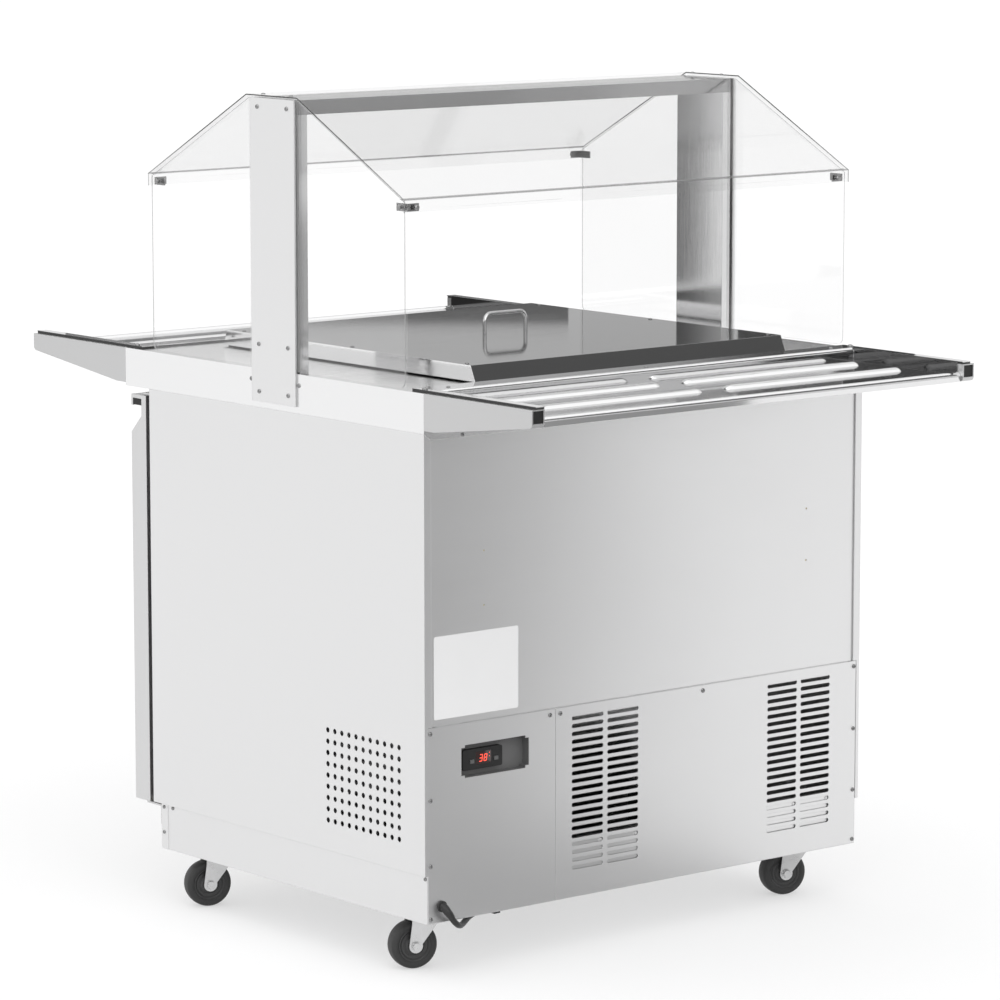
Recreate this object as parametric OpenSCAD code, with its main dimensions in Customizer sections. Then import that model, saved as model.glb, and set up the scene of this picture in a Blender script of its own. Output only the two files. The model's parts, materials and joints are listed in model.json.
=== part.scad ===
// Refrigerated salad bar on castors, with a breath guard and two tray slides.
// X runs along the worktop, Y from the operator's side (-Y) to the doors (+Y), Z up from the floor.

/* [Cabinet] */
// Length of the worktop
top_len = 915; // [900:5:960]
// Depth of the worktop
top_dep = 783; // [770:1:810]
// Height of the worktop above the floor
work_h = 914; // [900:1:940]
// Height of the worktop's folded edge
edge_h = 62; // [56:1:66]
// Worktop past the cabinet on the door side
front_over = 66; // [60:1:70]
// Steel sheet of the cabinet
skin = 1.5; // [1:0.1:2]
// Thin steel sheet of covers, lid and pans
thin = 1.2; // [1:0.1:1.5]
// Foam wall at the ends, back and door side
wall = 45; // [40:1:50]
// Height of the plinth
plinth_h = 76; // [70:1:84]
// How far the plinth stands in from the ends
plinth_in = 6; // [4:0.5:10]
// Height of the screwed covers above the plinth's lower edge
cover_h = 307; // [300:1:330]

/* [Vents and controls] */
// Diameter of the holes in the left end
vent_hole = 8.5; // [6:0.5:11]
// Distance between those holes
vent_pitch = 18; // [16:0.5:20]
// Holes along a row
vent_cols = 11; // [6:1:12]
// Rows of holes
vent_rows = 9; // [4:1:10]
// Height of one louvre slot
slot_h = 6.5; // [4:0.5:8]
// Distance between slots
slot_pitch = 12.6; // [11:0.1:13]
// Slots in a column
slot_rows = 20; // [8:1:20]
// Width of one slot
slot_w = 65; // [50:1:72]
// Length of the controller's front
ctl_len = 79; // [74:1:84]
// Height of the controller's front
ctl_high = 32; // [28:1:36]

/* [Food well] */
// Length of one third-size pan, rim included
third_w = 176; // [170:0.5:180]
// Depth of one third-size pan, rim included
third_d = 325; // [315:1:330]
// Depth of the half-long pan, rim included
half_d = 162; // [155:1:170]
// How deep the pans hang
pan_deep = 100; // [65:5:120]
// Width of a pan's rim
rim = 11; // [9:0.5:13]
// Width of the divider bar
bar_w = 18; // [14:0.5:20]

/* [Lid] */
// Length of the lid
lid_len = 648; // [620:2:680]
// Depth of the lid's top
lid_dep = 631; // [600:1:650]
// Height of the lid's sides
lid_h = 25; // [22:0.5:32]
// How far the sloping sides stand out at the bottom
lid_flare = 11; // [6:0.5:14]
// Distance between the handle's legs
handle_w = 86; // [70:1:120]
// Height of the handle above the lid
handle_h = 37; // [26:1:45]
// Thickness of the handle's rod
handle_rod = 6.5; // [6:0.5:10]

/* [Tray slides] */
// Reach of the tray slide on the operator's side
reach_back = 255; // [230:1:280]
// Reach of the tray slide on the door side
reach_front = 267; // [230:1:280]
// How far the tray surface lies below its rim
tray_drop = 21; // [18:0.5:24]
// Width of a slide bead
bead_w = 24; // [18:0.5:30]
// Height of a slide bead
bead_h = 6; // [4:0.5:8]
// Width of a bracket
arm_w = 24; // [20:0.5:30]
// Height of a bracket at its root
arm_root = 57; // [50:0.5:60]
// Height of a bracket at its tip
arm_tip = 28; // [27:0.5:34]

/* [Breath guard] */
// Height of the steel portal above the worktop
guard_h = 426; // [400:1:480]
// Width of the columns, beam and plates
post_w = 114; // [100:1:130]
// Thickness of a column
post_t = 17; // [14:0.5:20]
// Height of the beam
beam_h = 23; // [18:1:30]
// Thickness of the end panes
pane_t = 6; // [4:0.5:8]
// Thickness of the canopy
canopy_t = 5; // [4:0.5:6]
// Half the depth of the canopy
canopy_half = 334; // [310:1:345]
// Half the depth of the canopy's flat ridge
ridge_half = 66; // [62:1:90]
// Fall of the canopy from ridge to fold
canopy_fall = 141; // [120:1:160]
// Height of the canopy's front and back lip
canopy_lip = 20; // [18:1:26]

/* [Doors] */
// Thickness of a door
door_t = 40.5; // [38:0.5:45]
// Distance between the two doors
door_gap = 4; // [3:0.5:6]
// Width of the gasket ring
gasket_w = 16; // [12:1:20]

/* [Castors] */
// Diameter of a wheel
wheel_d = 76; // [72:1:78]
// Width of a tyre
wheel_w = 30; // [26:1:32]
// Trail of the axle behind the swivel
trail = 18; // [14:1:22]
// Distance of the swivels from the worktop's ends
castor_in = 65.5; // [62:0.5:76]
// Distance between the front and back swivels
castor_span = 542; // [520:2:560]

/* [Mains lead] */
// Diameter of the lead
cord_d = 9.5; // [9.5:0.5:9.5]

/* [Hidden] */
$fn = 40;

// clearances
slip = 0.2;
lift = 0.3;
run = 0.05;

// cabinet outline
hx = top_len / 2;
hy = top_dep / 2;
top_z = work_h;
edge_z = work_h - edge_h;
back_y = -hy;
front_y = hy - front_over;
mid_y = (reach_back - reach_front) / 2;
skirt_z = 91;
pan_floor_z = 100;
plinth_top = skirt_z + plinth_h;
plinth_x = hx - plinth_in;
plinth_front = front_y - 15.5;
hem = 2.8;
return_w = 13.6;
strip_h = 10;
cover_y = back_y + 0.6;
seat_y = cover_y + thin + slip;
casing_y = back_y + hem + slip;
cover_z0 = skirt_z + 1;
cover_z1 = skirt_z + cover_h;
cover_x = hx - 6.5;
seam_x = -hx + 261.5;
casing_x = hx - skin - 4;
ceiling_z = cover_z1 + 1;
step_y = -131.5;

// liner
liner_x = hx - wall - 2.5;
low_z = plinth_top + 48;
mid_z = ceiling_z + 50;
high_z = top_z - 99;
step_in = step_y + wall + 1.5;
rear_in = back_y + wall + 1.5;
liner_t = 1.5;

// food well
well_y = -24;
pan_gap = 1;
lap = 7;
group_w = 3 * third_w + 2 * pan_gap;
group_d = third_d + pan_gap + half_d;
well_hx = group_w / 2 - lap;
well_hy = group_d / 2 - lap;
row_y = well_y - group_d / 2 + third_d + pan_gap / 2;
rim_drop = 14;
pan_t = 1;

// lid
lid_y = -23.5;
lid_mid = lid_y - 6.5;
lid_z0 = top_z + 3;
lid_z1 = lid_z0 + lid_h;

// tray slides
gasket_t = 3;
rim_w = 37;
rim_end = 7.5;
rim_z = top_z + gasket_t;
tray_z = rim_z - tray_drop;
roll_r = 7.5;
roll_z = tray_z + 5 - roll_r;
roll_drop = 7.5;
fold_r = 6;
bead_gap = 25;
bead_end = 53;
knee = 25;
bolt_in = 14.5;

// guard
guard_y = -17;
pane_out = hx;
pane_in = hx - pane_t;
post_out = pane_in;
post_in = post_out - post_t;
guard_top = top_z + guard_h;
canopy_top = guard_top + canopy_t;
fold_z = canopy_top - canopy_fall;
lip_z = fold_z - canopy_lip;
plate_t = 3;
plate_z = edge_z + 10;
canopy_x = hx + plate_t + 0.5;
clip_h = 12;
clip_z = lip_z + 1.5 + clip_h / 2;
clip_bolt = 2.5;

// doors
gasket_space = 12.5;
door_y0 = front_y + gasket_space;
door_y1 = door_y0 + door_t;
door_z0 = plinth_top - 2;
door_z1 = edge_z - 13;
door_x1 = hx - 1.8;
door_x0 = door_gap / 2;
neck_t = 12.5;
bevel_z = door_z1 - 62;
hook_t = 6;
hook_lip = 4;
hook_z = door_z1 - 18;
pivot_x = hx - 14;
pivot_y = door_y0 + 6;
pivot_r = 3;

// castors
castor_x = hx - castor_in;
castor_y = -33;
castor_yaw = -20;
axle_z = wheel_d / 2;
fork_z = wheel_d + 8;
fork_t = 3;
axle_r = 5;
king_r = 5;
hub_w = wheel_w + 4;
cheek_in = hub_w / 2 + 0.5;
cheek_t = 2.5;

// controller
ctl_x0 = -hx + 80.5;
ctl_z = 337;
pocket_x0 = ctl_x0 - 8;
pocket_x1 = ctl_x0 + 127;
pocket_z0 = ctl_z - 25;
pocket_z1 = ctl_z + 26;
pocket_tab = 7;
pocket_step = 4;
pocket_deep = 16;
bezel_t = 9;
bezel_y = cover_y + pocket_deep - bezel_t;
key_w = 8;
key_h = 6;
key_z = ctl_z - 3;
key_gap = 0.4;

// condenser fan
fan_y = -242;
fan_z = 237;
fan_x = -hx + 85.5;
fan_r = 82;

// evaporator
evap_z0 = mid_z + 15;
evap_z1 = evap_z0 + 135;
evap_y1 = rear_in + 72;
evap_hx = liner_x - 120;
efan_z = (evap_z0 + evap_z1) / 2;
efan_r = 48;

// mains lead: the route is in the cabinet's frame, one point to a line where it turns
grommet_x = -425;
grommet_z = 117;
cord_r = cord_d / 2;
coil_x = 30;
coil_y = 150;
floor_c = cord_r - cord_d / 10;
coil_pitch = 10.2;
coil_rise = 10.3;
coil_in = 37;
coil_turns_in = 2.5;
coil_turns_out = 3;
coil_out = coil_in + coil_pitch * coil_turns_in;
coil_top = floor_c + coil_rise;
plug_r = 13;
tail = 84;
cord_route = [
    [-425, -376, 117],
    [-425, -386, 117],
    [-425, -396, 116.3],
    [-423, -405, 109],
    [-418, -409, 99],
    [-410, -409, 90.5],
    [-400, -404, 85.5],
    [-389, -396, 83.5],
    [-377, -388, 85],
    [-362, -381, 89.5],
    [-344, -377, 93],
    [-320, -376, 94],
    [-296, -374, 94],
    [-272, -364, 94],
    [-250, -344, 94],
    [-218, -300, 94],
    [-170, -234, 94],
    [-122, -168, 94],
    [-88, -122, 93],
    [-54, -78, 84],
    [-18, -34, 66],
    [18, 10, 45],
    [50, 50, 28],
    [74, 90, 18],
    [coil_x + coil_out - 1.4, coil_y - 28, 14.9],
    [coil_x + coil_out, coil_y - cord_d, coil_top]
];
clip_at = 94;
clip_spots = [[-308, -375, 4.5], [-194, -267, 54], [-122, -168, 54]];

// ---------- small helpers ----------

function unit(v) = v / norm(v);
function left_of(a, b) = unit([a[1] - b[1], b[0] - a[0]]);
function miter(p, a, b, t) = p + t * (a + b) / (1 + a * b);
// a bent sheet: a line of points and its copy one thickness to the left
function bent(p, t) = let (n = len(p) - 1) concat(p, [
    for (i = [n:-1:0])
        i == 0 ? p[0] + t * left_of(p[0], p[1])
        : i == n ? p[n] + t * left_of(p[n - 1], p[n])
        : miter(p[i], left_of(p[i - 1], p[i]), left_of(p[i], p[i + 1]), t)
]);
// a closed outline, counter-clockwise, drawn in by t
function inset(p, t) = let (n = len(p)) [
    for (i = [0:n - 1])
        let (q = p[(i + n - 1) % n], r = p[(i + 1) % n])
            miter(p[i], left_of(q, p[i]), left_of(p[i], r), t)
];
function arc(c, r, a0, a1, n) = [
    for (i = [0:n])
        let (a = a0 + (a1 - a0) * i / n) c + r * [cos(a), sin(a)]
];

module placed() {
    translate([0, mid_y, 0]) children();
}

module box(lo, hi) {
    translate(lo) cube(hi - lo);
}

module along_x(from, to) {
    translate([from, 0, 0]) rotate([90, 0, 90]) linear_extrude(height = to - from) children();
}

module along_y(from, to) {
    translate([0, to, 0]) rotate([90, 0, 0]) linear_extrude(height = to - from) children();
}

module both_ends() {
    children();
    mirror([1, 0, 0]) children();
}

module soft_rect(w, d, r) {
    square([w - 2 * r, d], center = true);
    square([w, d - 2 * r], center = true);
    for (x = [-1, 1])
        for (y = [-1, 1])
            translate([x * (w / 2 - r), y * (d / 2 - r)]) circle(r);
}

// pan-head screw standing on the plane z = 0
module screw_head(r, h) {
    cylinder(r = r, h = h * 0.45);
    translate([0, 0, h * 0.45]) cylinder(r1 = r, r2 = r * 0.55, h = h * 0.55);
}

module screw_up(p, r, h) {
    translate(p) screw_head(r, h);
}

module screw_back(p, r, h) {
    translate(p) rotate([90, 0, 0]) screw_head(r, h);
}

module screw_left(p, r, h) {
    translate(p) rotate([0, -90, 0]) screw_head(r, h);
}

// ---------- cabinet ----------

module well_hole(g, z0, z1) {
    translate([0, well_y, z0])
        linear_extrude(height = z1 - z0) soft_rect(2 * (well_hx + g), 2 * (well_hy + g), 12 + g);
}

module worktop() color("gainsboro") {
    difference() {
        box([-hx, -hy, edge_z], [hx, hy, top_z]);
        box([-hx + skin, -hy + skin, edge_z - 1], [hx - skin, hy - skin, top_z - skin]);
        well_hole(0, edge_z, top_z + 1);
    }
    // turned-down rim of the food well
    difference() {
        well_hole(skin, top_z - rim_drop, top_z - skin / 2);
        well_hole(0, edge_z, top_z + 1);
    }
    // seats of the divider bar
    both_ends()
        box([well_hx - 8, row_y - bar_w / 2 + 1, top_z - rim_drop - skin],
            [well_hx + skin, row_y + bar_w / 2 - 1, top_z - rim_drop]);
    // hem under the overhang
    difference() {
        box([-hx + 0.5, front_y + 1, edge_z], [hx - 0.5, hy - 0.5, edge_z + skin]);
        box([-hx + 14, front_y - 1, edge_z - 1], [hx - 14, hy - 14, edge_z + skin + 1]);
    }
    // rear strip with mitred ends
    along_y(back_y, back_y + hem)
        polygon([[-hx, edge_z + 1], [-hx, edge_z], [-hx + return_w, edge_z - strip_h],
            [hx - return_w, edge_z - strip_h], [hx, edge_z], [hx, edge_z + 1]]);
}

module cavity(g, open) {
    along_x(-liner_x - g, liner_x + g)
        polygon([[front_y + open, low_z - g], [front_y + open, high_z + g], [rear_in - g, high_z + g],
            [rear_in - g, mid_z - g], [step_in - g, mid_z - g], [step_in - g, low_z - g]]);
}

module collar(g) {
    well_hole(skin + slip + g, high_z - 1, top_z - skin - slip);
}

module liner() color("lightgray") difference() {
    union() {
        cavity(liner_t, 0);
        collar(liner_t);
        // flange that hides the foam's edge round the door openings
        box([-hx + skin + slip, front_y - skin, plinth_top + slip],
            [hx - skin - slip, front_y, edge_z - slip]);
    }
    cavity(0, 1);
    collar(0);
    well_hole(skin + slip, high_z - 5, top_z);
}

module insulation() color("khaki") difference() {
    union() {
        along_x(-casing_x, casing_x)
            polygon([[front_y - skin - slip, plinth_top + slip], [front_y - skin - slip, edge_z - slip],
                [casing_y + thin + slip, edge_z - slip], [casing_y + thin + slip, ceiling_z + slip],
                [step_y + thin + slip, ceiling_z + slip], [step_y + thin + slip, plinth_top + slip]]);
        box([-hx + 16, casing_y + thin + slip, edge_z - 1],
            [hx - 16, front_y - skin - slip, top_z - skin - slip]);
    }
    cavity(liner_t + slip, 1);
    collar(liner_t + slip);
    well_hole(liner_t + skin + 2 * slip, high_z, top_z);
}

module end_panel() {
    // the side sheet, its lower hem and its upper flange under the worktop
    box([hx - skin, back_y, plinth_top], [hx, front_y, edge_z]);
    box([plinth_x - 10, back_y + 2, plinth_top], [hx, step_y, plinth_top + skin]);
    // rear return, a double hem beside the back panel
    along_y(back_y, back_y + hem)
        polygon([[hx - return_w, cover_z1 + 0.4], [hx, cover_z1 + 0.4], [hx, edge_z],
            [hx - return_w, edge_z - strip_h]]);
    // beside the covers the return is narrow, with a seat behind them
    box([hx - 6.2, back_y, plinth_top], [hx, back_y + 3.4, cover_z1 + 1]);
    box([hx - 22, seat_y, plinth_top], [hx - 6, seat_y + 1.3, cover_z1 - 1]);
}

module end_panels() color("whitesmoke") {
    end_panel();
    difference() {
        mirror([1, 0, 0]) end_panel();
        for (i = [0:vent_cols - 1])
            for (j = [0:vent_rows - 1])
                translate([-hx - 1, -328 + i * vent_pitch, 216 + j * vent_pitch])
                    rotate([0, 90, 0]) cylinder(d = vent_hole, h = skin + 2, $fn = 16);
    }
}

// back panel, ceiling of the machine space and its inner wall in one bent sheet
module back_panel() color("silver") difference() {
    union() {
        along_x(-casing_x, casing_x)
            polygon(bent([[casing_y, edge_z - 1], [casing_y, ceiling_z - thin],
                [step_y, ceiling_z - thin], [step_y, plinth_top + slip]], thin));
        // seat of the covers' upper edge
        box([-hx + 24, seat_y, cover_z1 - 18], [hx - 24, seat_y + 1.3, ceiling_z]);
    }
    for (x = [-338, 338])
        for (z = [577, 662])
            translate([x, casing_y + thin + 1, z]) rotate([90, 0, 0]) cylinder(d = 3, h = 4, $fn = 16);
}

module slot2d(w, h) {
    square([w - h, h], center = true);
    for (s = [-1, 1])
        translate([s * (w - h) / 2, 0]) circle(d = h, $fn = 16);
}

module pocket2d(g) {
    translate([pocket_x0 + pocket_tab - g, pocket_z0 - g])
        square([pocket_x1 - pocket_x0 - 2 * pocket_tab + 2 * g, pocket_z1 - pocket_z0 + 2 * g]);
    translate([pocket_x0 - g, pocket_z0 + pocket_step - g])
        square([pocket_x1 - pocket_x0 + 2 * g, pocket_z1 - pocket_z0 - 2 * pocket_step + 2 * g]);
}

module control_cover() color("silver") along_y(cover_y, cover_y + thin) difference() {
    translate([-cover_x, cover_z0]) square([cover_x + seam_x - 0.4, cover_z1 - cover_z0]);
    pocket2d(slip);
    translate([grommet_x, grommet_z]) circle(r = cord_r + 2.2);
}

module vent_cover() color("lightgray") along_y(cover_y, cover_y + thin) difference() {
    translate([seam_x + 0.4, cover_z0]) square([cover_x - seam_x - 0.4, cover_z1 - cover_z0]);
    for (x = [seam_x + 66, seam_x + 139.5, cover_x - 165, cover_x - 91.5])
        for (i = [0:slot_rows - 1])
            translate([x, cover_z1 - 20 - i * slot_pitch]) slot2d(slot_w, slot_h);
}

module base_frame() color("darkgray") {
    // plinth rails
    difference() {
        box([-plinth_x, seat_y, skirt_z], [plinth_x, plinth_front, plinth_top - slip]);
        box([-plinth_x + skin, seat_y + skin, skirt_z - 1],
            [plinth_x - skin, plinth_front - skin, plinth_top + 1]);
        box([-plinth_x + 22, seat_y - 1, pan_floor_z + 6],
            [plinth_x - 22, seat_y + skin + 1, plinth_top + 1]);
        translate([grommet_x, seat_y + skin + 1, grommet_z]) rotate([90, 0, 0])
            cylinder(r = cord_r + 4.2, h = skin + 2);
    }
    // flanges that carry the cabinet
    difference() {
        box([-plinth_x + 0.5, step_y + 5, plinth_top - slip - skin],
            [plinth_x - 0.5, plinth_front - 0.5, plinth_top - slip]);
        box([-plinth_x + 30, step_y + 35, plinth_top - 5], [plinth_x - 30, plinth_front - 30, plinth_top + 1]);
    }
    // floor of the machine space
    difference() {
        box([-plinth_x + 0.5, seat_y + 0.5, pan_floor_z], [plinth_x - 0.5, plinth_front - 0.5, pan_floor_z + skin]);
        for (x = [-castor_x, castor_x])
            for (s = [-1, 1])
                translate([x, castor_y + s * castor_span / 2, pan_floor_z - 1])
                    cylinder(r = king_r + 3, h = skin + 2);
    }
    // cross member under the cabinet's back wall
    box([-plinth_x + 1, step_y + 5, pan_floor_z], [plinth_x - 1, step_y + 5 + skin, plinth_top - slip]);
    // corner strips of the plinth
    both_ends()
        box([plinth_x - 0.5, plinth_front - 17, skirt_z], [plinth_x + 1.2, plinth_front, plinth_top - slip]);
    // post behind the seam of the two covers
    box([seam_x - 20, seat_y, skirt_z], [seam_x + 20, seat_y + skin, cover_z1 - 19]);
    box([seam_x - skin / 2, seat_y, skirt_z], [seam_x + skin / 2, seat_y + 18, cover_z1 - 19]);
}

// ---------- food well ----------

module divider_bar() color("silver") difference() {
    box([-well_hx + slip, row_y - bar_w / 2, top_z - rim_drop + slip],
        [well_hx - slip, row_y + bar_w / 2, top_z]);
    box([-well_hx - 1, row_y - bar_w / 2 + skin, top_z - rim_drop - 1],
        [well_hx + 1, row_y + bar_w / 2 - skin, top_z - skin]);
}

module pan(w, d) {
    z = top_z + lift;
    difference() {
        union() {
            translate([0, 0, z]) linear_extrude(height = pan_t) soft_rect(w, d, 10);
            translate([0, 0, z - 14])
                linear_extrude(height = 14.5) soft_rect(w - 2 * rim, d - 2 * rim, 24);
            translate([0, 0, z - pan_deep])
                linear_extrude(height = pan_deep) soft_rect(w - 2 * rim - 5, d - 2 * rim - 5, 22);
        }
        // stacking step near the rim, then the straight inside
        translate([0, 0, z - 13])
            linear_extrude(height = 20) soft_rect(w - 2 * rim - 2 * pan_t, d - 2 * rim - 2 * pan_t, 23);
        translate([0, 0, z - pan_deep + pan_t])
            linear_extrude(height = pan_deep)
                soft_rect(w - 2 * rim - 5 - 2 * pan_t, d - 2 * rim - 5 - 2 * pan_t, 21);
    }
}

module pan_third(i) color("silver")
    translate([i * (third_w + pan_gap), row_y - pan_gap / 2 - third_d / 2, 0]) pan(third_w, third_d);
module pan_third_1() pan_third(-1);
module pan_third_2() pan_third(0);
module pan_third_3() pan_third(1);
module pan_half_long() color("silver")
    translate([0, row_y + pan_gap / 2 + half_d / 2, 0]) pan(group_w, half_d);

// ---------- inside the cabinet ----------

rail_ys = [-60, 260];
shelf_z = mid_z + 52;

module shelf_rails() color("silver") both_ends() for (y = rail_ys) {
    difference() {
        box([liner_x - 6.5, y - 9, low_z + 15], [liner_x - slip, y + 9, high_z - 25]);
        box([liner_x - 5.5, y - 7, low_z + 14], [liner_x + 1, y + 7, high_z - 24]);
        for (z = [low_z + 30:26:high_z - 40])
            box([liner_x - 8, y - 4, z], [liner_x - 5, y + 4, z + 4]);
    }
    // clip that carries the shelf
    box([liner_x - 18, y - 6, shelf_z - 9], [liner_x - 6.2, y + 6, shelf_z - 7.2]);
    box([liner_x - 8, y - 6, shelf_z - 20], [liner_x - 6.2, y + 6, shelf_z - 7.2]);
}

module rod_x(p, len, d) {
    translate(p) rotate([0, 90, 0]) cylinder(d = d, h = len, center = true, $fn = 16);
}

module rod_y(p, len, d) {
    translate(p) rotate([90, 0, 0]) cylinder(d = d, h = len, center = true, $fn = 16);
}

module shelf() color("white") {
    sx = liner_x - 9.5;
    y0 = -80;
    y1 = 290;
    for (y = [y0, y1, (y0 + y1) / 2])
        rod_x([0, y, shelf_z - 4], 2 * sx, 6);
    both_ends() rod_y([sx - 3, (y0 + y1) / 2, shelf_z - 4], y1 - y0, 6);
    for (x = [-sx + 24:(2 * sx - 48) / 26:sx - 23])
        rod_y([x, (y0 + y1) / 2, shelf_z + 0.2], y1 - y0 + 4, 3.2);
}

module blades(r, hub, depth, n, tilt) {
    cylinder(r = hub, h = depth, center = true);
    intersection() {
        cylinder(r = r, h = depth, center = true);
        for (k = [0:n - 1])
            rotate([0, 0, k * 360 / n])
                translate([(r + hub) / 2, 0, 0])
                    rotate([tilt, 0, 0]) cube([r - hub + 6, r * 0.95, 1.6], center = true);
    }
}

module evaporator() color("gainsboro") {
    // hood on the rear wall, with the air outlet and the intake slots
    difference() {
        box([-evap_hx, rear_in + slip, evap_z0], [evap_hx, evap_y1, evap_z1]);
        box([-evap_hx + thin, rear_in - 1, evap_z0 + thin], [evap_hx - thin, evap_y1 - thin, evap_z1 - thin]);
        translate([0, evap_y1, efan_z]) rotate([90, 0, 0]) cylinder(r = efan_r + 3, h = 8, center = true);
        for (x = [-240:20:-80])
            for (s = [-1, 1])
                box([s * x - 4, evap_y1 - 3, evap_z0 + 20], [s * x + 4, evap_y1 + 1, evap_z1 - 20]);
    }
    // coil block behind the intake slots
    both_ends()
        box([72, rear_in + slip, evap_z0 + thin], [evap_hx - 10, rear_in + 48, evap_z1 - thin]);
    // fan motor
    translate([0, rear_in + slip, efan_z]) rotate([-90, 0, 0]) cylinder(r = 22, h = 38);
    translate([0, rear_in + slip, efan_z]) rotate([-90, 0, 0]) cylinder(r = 3, h = 66);
    box([-60, rear_in + slip, efan_z - 8], [60, rear_in + 3, efan_z + 8]);
}

module evaporator_fan() color("dimgray")
    translate([0, rear_in + 52, efan_z]) rotate([90, 0, 0]) difference() {
        blades(efan_r, 13, 20, 5, 28);
        cylinder(r = 3 + run, h = 40, center = true);
    }

// ---------- machine space ----------

comp_x = 190;
comp_y = -255;

module compressor() color("dimgray") translate([comp_x, comp_y, pan_floor_z + skin]) {
    // welded shell with its seam flange
    translate([0, 0, 22]) rotate_extrude()
        polygon(concat([[0, 0]], arc([50, 22], 22, -90, 0, 5), [[72, 84], [77, 84], [77, 92], [72, 92]],
            arc([38, 124], 34, 0, 70, 6), [[0, 164]]));
    // feet plate on rubber grommets
    difference() {
        translate([0, 0, 14]) linear_extrude(height = 9) soft_rect(190, 120, 16);
        for (x = [-82, 82])
            for (y = [-46, 46])
                translate([x, y, 0]) cylinder(r = 6, h = 40);
    }
    for (x = [-82, 82])
        for (y = [-46, 46])
            translate([x, y, 0]) {
                cylinder(r = 11, h = 14);
                cylinder(r = 6, h = 27);
            }
    // terminal cover and stub pipes
    translate([-96, -24, 50]) cube([28, 48, 52]);
    translate([40, 30, 130]) cylinder(r = 5, h = 60);
    translate([-30, 40, 130]) cylinder(r = 4, h = 74);
}

module condenser() color("slategray") {
    x0 = -hx + 18;
    z0 = pan_floor_z + skin;
    y0 = -342;
    y1 = -142;
    z1 = z0 + 266;
    // fin pack between two tube sheets
    box([x0, y0, z0], [x0 + 40, y0 + 2, z1]);
    box([x0, y1 - 2, z0], [x0 + 40, y1, z1]);
    for (i = [0:12])
        for (j = [0:1])
            rod_y([x0 + 11 + j * 18, (y0 + y1) / 2, z0 + 12 + i * 20], y1 - y0, 8);
    for (i = [0:23])
        box([x0 + 3, y0 + 8 + i * 8, z0 + 3], [x0 + 37, y0 + 8.8 + i * 8, z1 - 3]);
}

module fan_shroud() color("gray") {
    x0 = -hx + 60;
    z0 = pan_floor_z + skin;
    // plate with its throat ring
    difference() {
        union() {
            box([x0, -342, z0], [x0 + 1.5, -142, z0 + 266]);
            translate([x0, fan_y, fan_z]) rotate([0, 90, 0]) cylinder(r = fan_r + 6, h = 26);
        }
        translate([x0 - 1, fan_y, fan_z]) rotate([0, 90, 0]) cylinder(r = fan_r + 4, h = 40);
    }
    // foot flange
    box([x0, -342, z0], [x0 + 30, -142, z0 + 1.5]);
    // motor on a post
    translate([fan_x + 24, fan_y, fan_z]) rotate([0, 90, 0]) cylinder(r = 32, h = 60);
    translate([fan_x - 14, fan_y, fan_z]) rotate([0, 90, 0]) cylinder(r = 4, h = 60);
    box([fan_x + 40, fan_y - 15, z0], [fan_x + 42.5, fan_y + 15, fan_z - 28]);
    box([fan_x + 26, fan_y - 15, z0], [fan_x + 62, fan_y + 15, z0 + 2]);
    box([x0, fan_y - 15, z0], [fan_x + 30, fan_y + 15, z0 + 2]);
}

module fan_blade() color("dimgray")
    translate([fan_x, fan_y, fan_z]) rotate([0, 90, 0]) difference() {
        blades(fan_r, 20, 26, 5, 26);
        cylinder(r = 4 + run, h = 60, center = true);
    }

module controller_pocket() color("dimgray") difference() {
    along_y(cover_y + thin, cover_y + pocket_deep + 1.5) pocket2d(3);
    along_y(cover_y, cover_y + pocket_deep) pocket2d(0);
    box([ctl_x0 + 4, cover_y, ctl_z - ctl_high / 2 + 2],
        [ctl_x0 + ctl_len - 4, cover_y + 40, ctl_z + ctl_high / 2 - 2]);
}

function key_x(s) = ctl_x0 + ctl_len / 2 + s * 24 + 3;

module key(s) {
    box([key_x(s) - key_w / 2, bezel_y - 1, key_z - key_h / 2],
        [key_x(s) + key_w / 2, bezel_y + 4, key_z + key_h / 2]);
    box([key_x(s) - key_w / 2 + 1.5, bezel_y + 3, key_z - key_h / 2 + 1.5],
        [key_x(s) + key_w / 2 - 1.5, bezel_y + 6, key_z + key_h / 2 - 1.5]);
}

module controller() color("black") difference() {
    union() {
        along_y(bezel_y, cover_y + pocket_deep - slip)
            translate([ctl_x0 + ctl_len / 2, ctl_z]) soft_rect(ctl_len, ctl_high, 3);
        box([ctl_x0 + 4 + slip, bezel_y + 4, ctl_z - ctl_high / 2 + 2 + slip],
            [ctl_x0 + ctl_len - 4 - slip, bezel_y + 62, ctl_z + ctl_high / 2 - 2 - slip]);
    }
    // display window
    box([ctl_x0 + 26, bezel_y - 1, ctl_z - 9], [ctl_x0 + ctl_len - 22, bezel_y + 0.8, ctl_z + 11]);
    for (s = [-1, 1])
        box([key_x(s) - key_w / 2 - key_gap, bezel_y - 1, key_z - key_h / 2 - key_gap],
            [key_x(s) + key_w / 2 + key_gap, bezel_y + 7, key_z + key_h / 2 + key_gap]);
}

module controller_key_left() color("gray") key(-1);
module controller_key_right() color("gray") key(1);

// ---------- screws of the cabinet ----------

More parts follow.
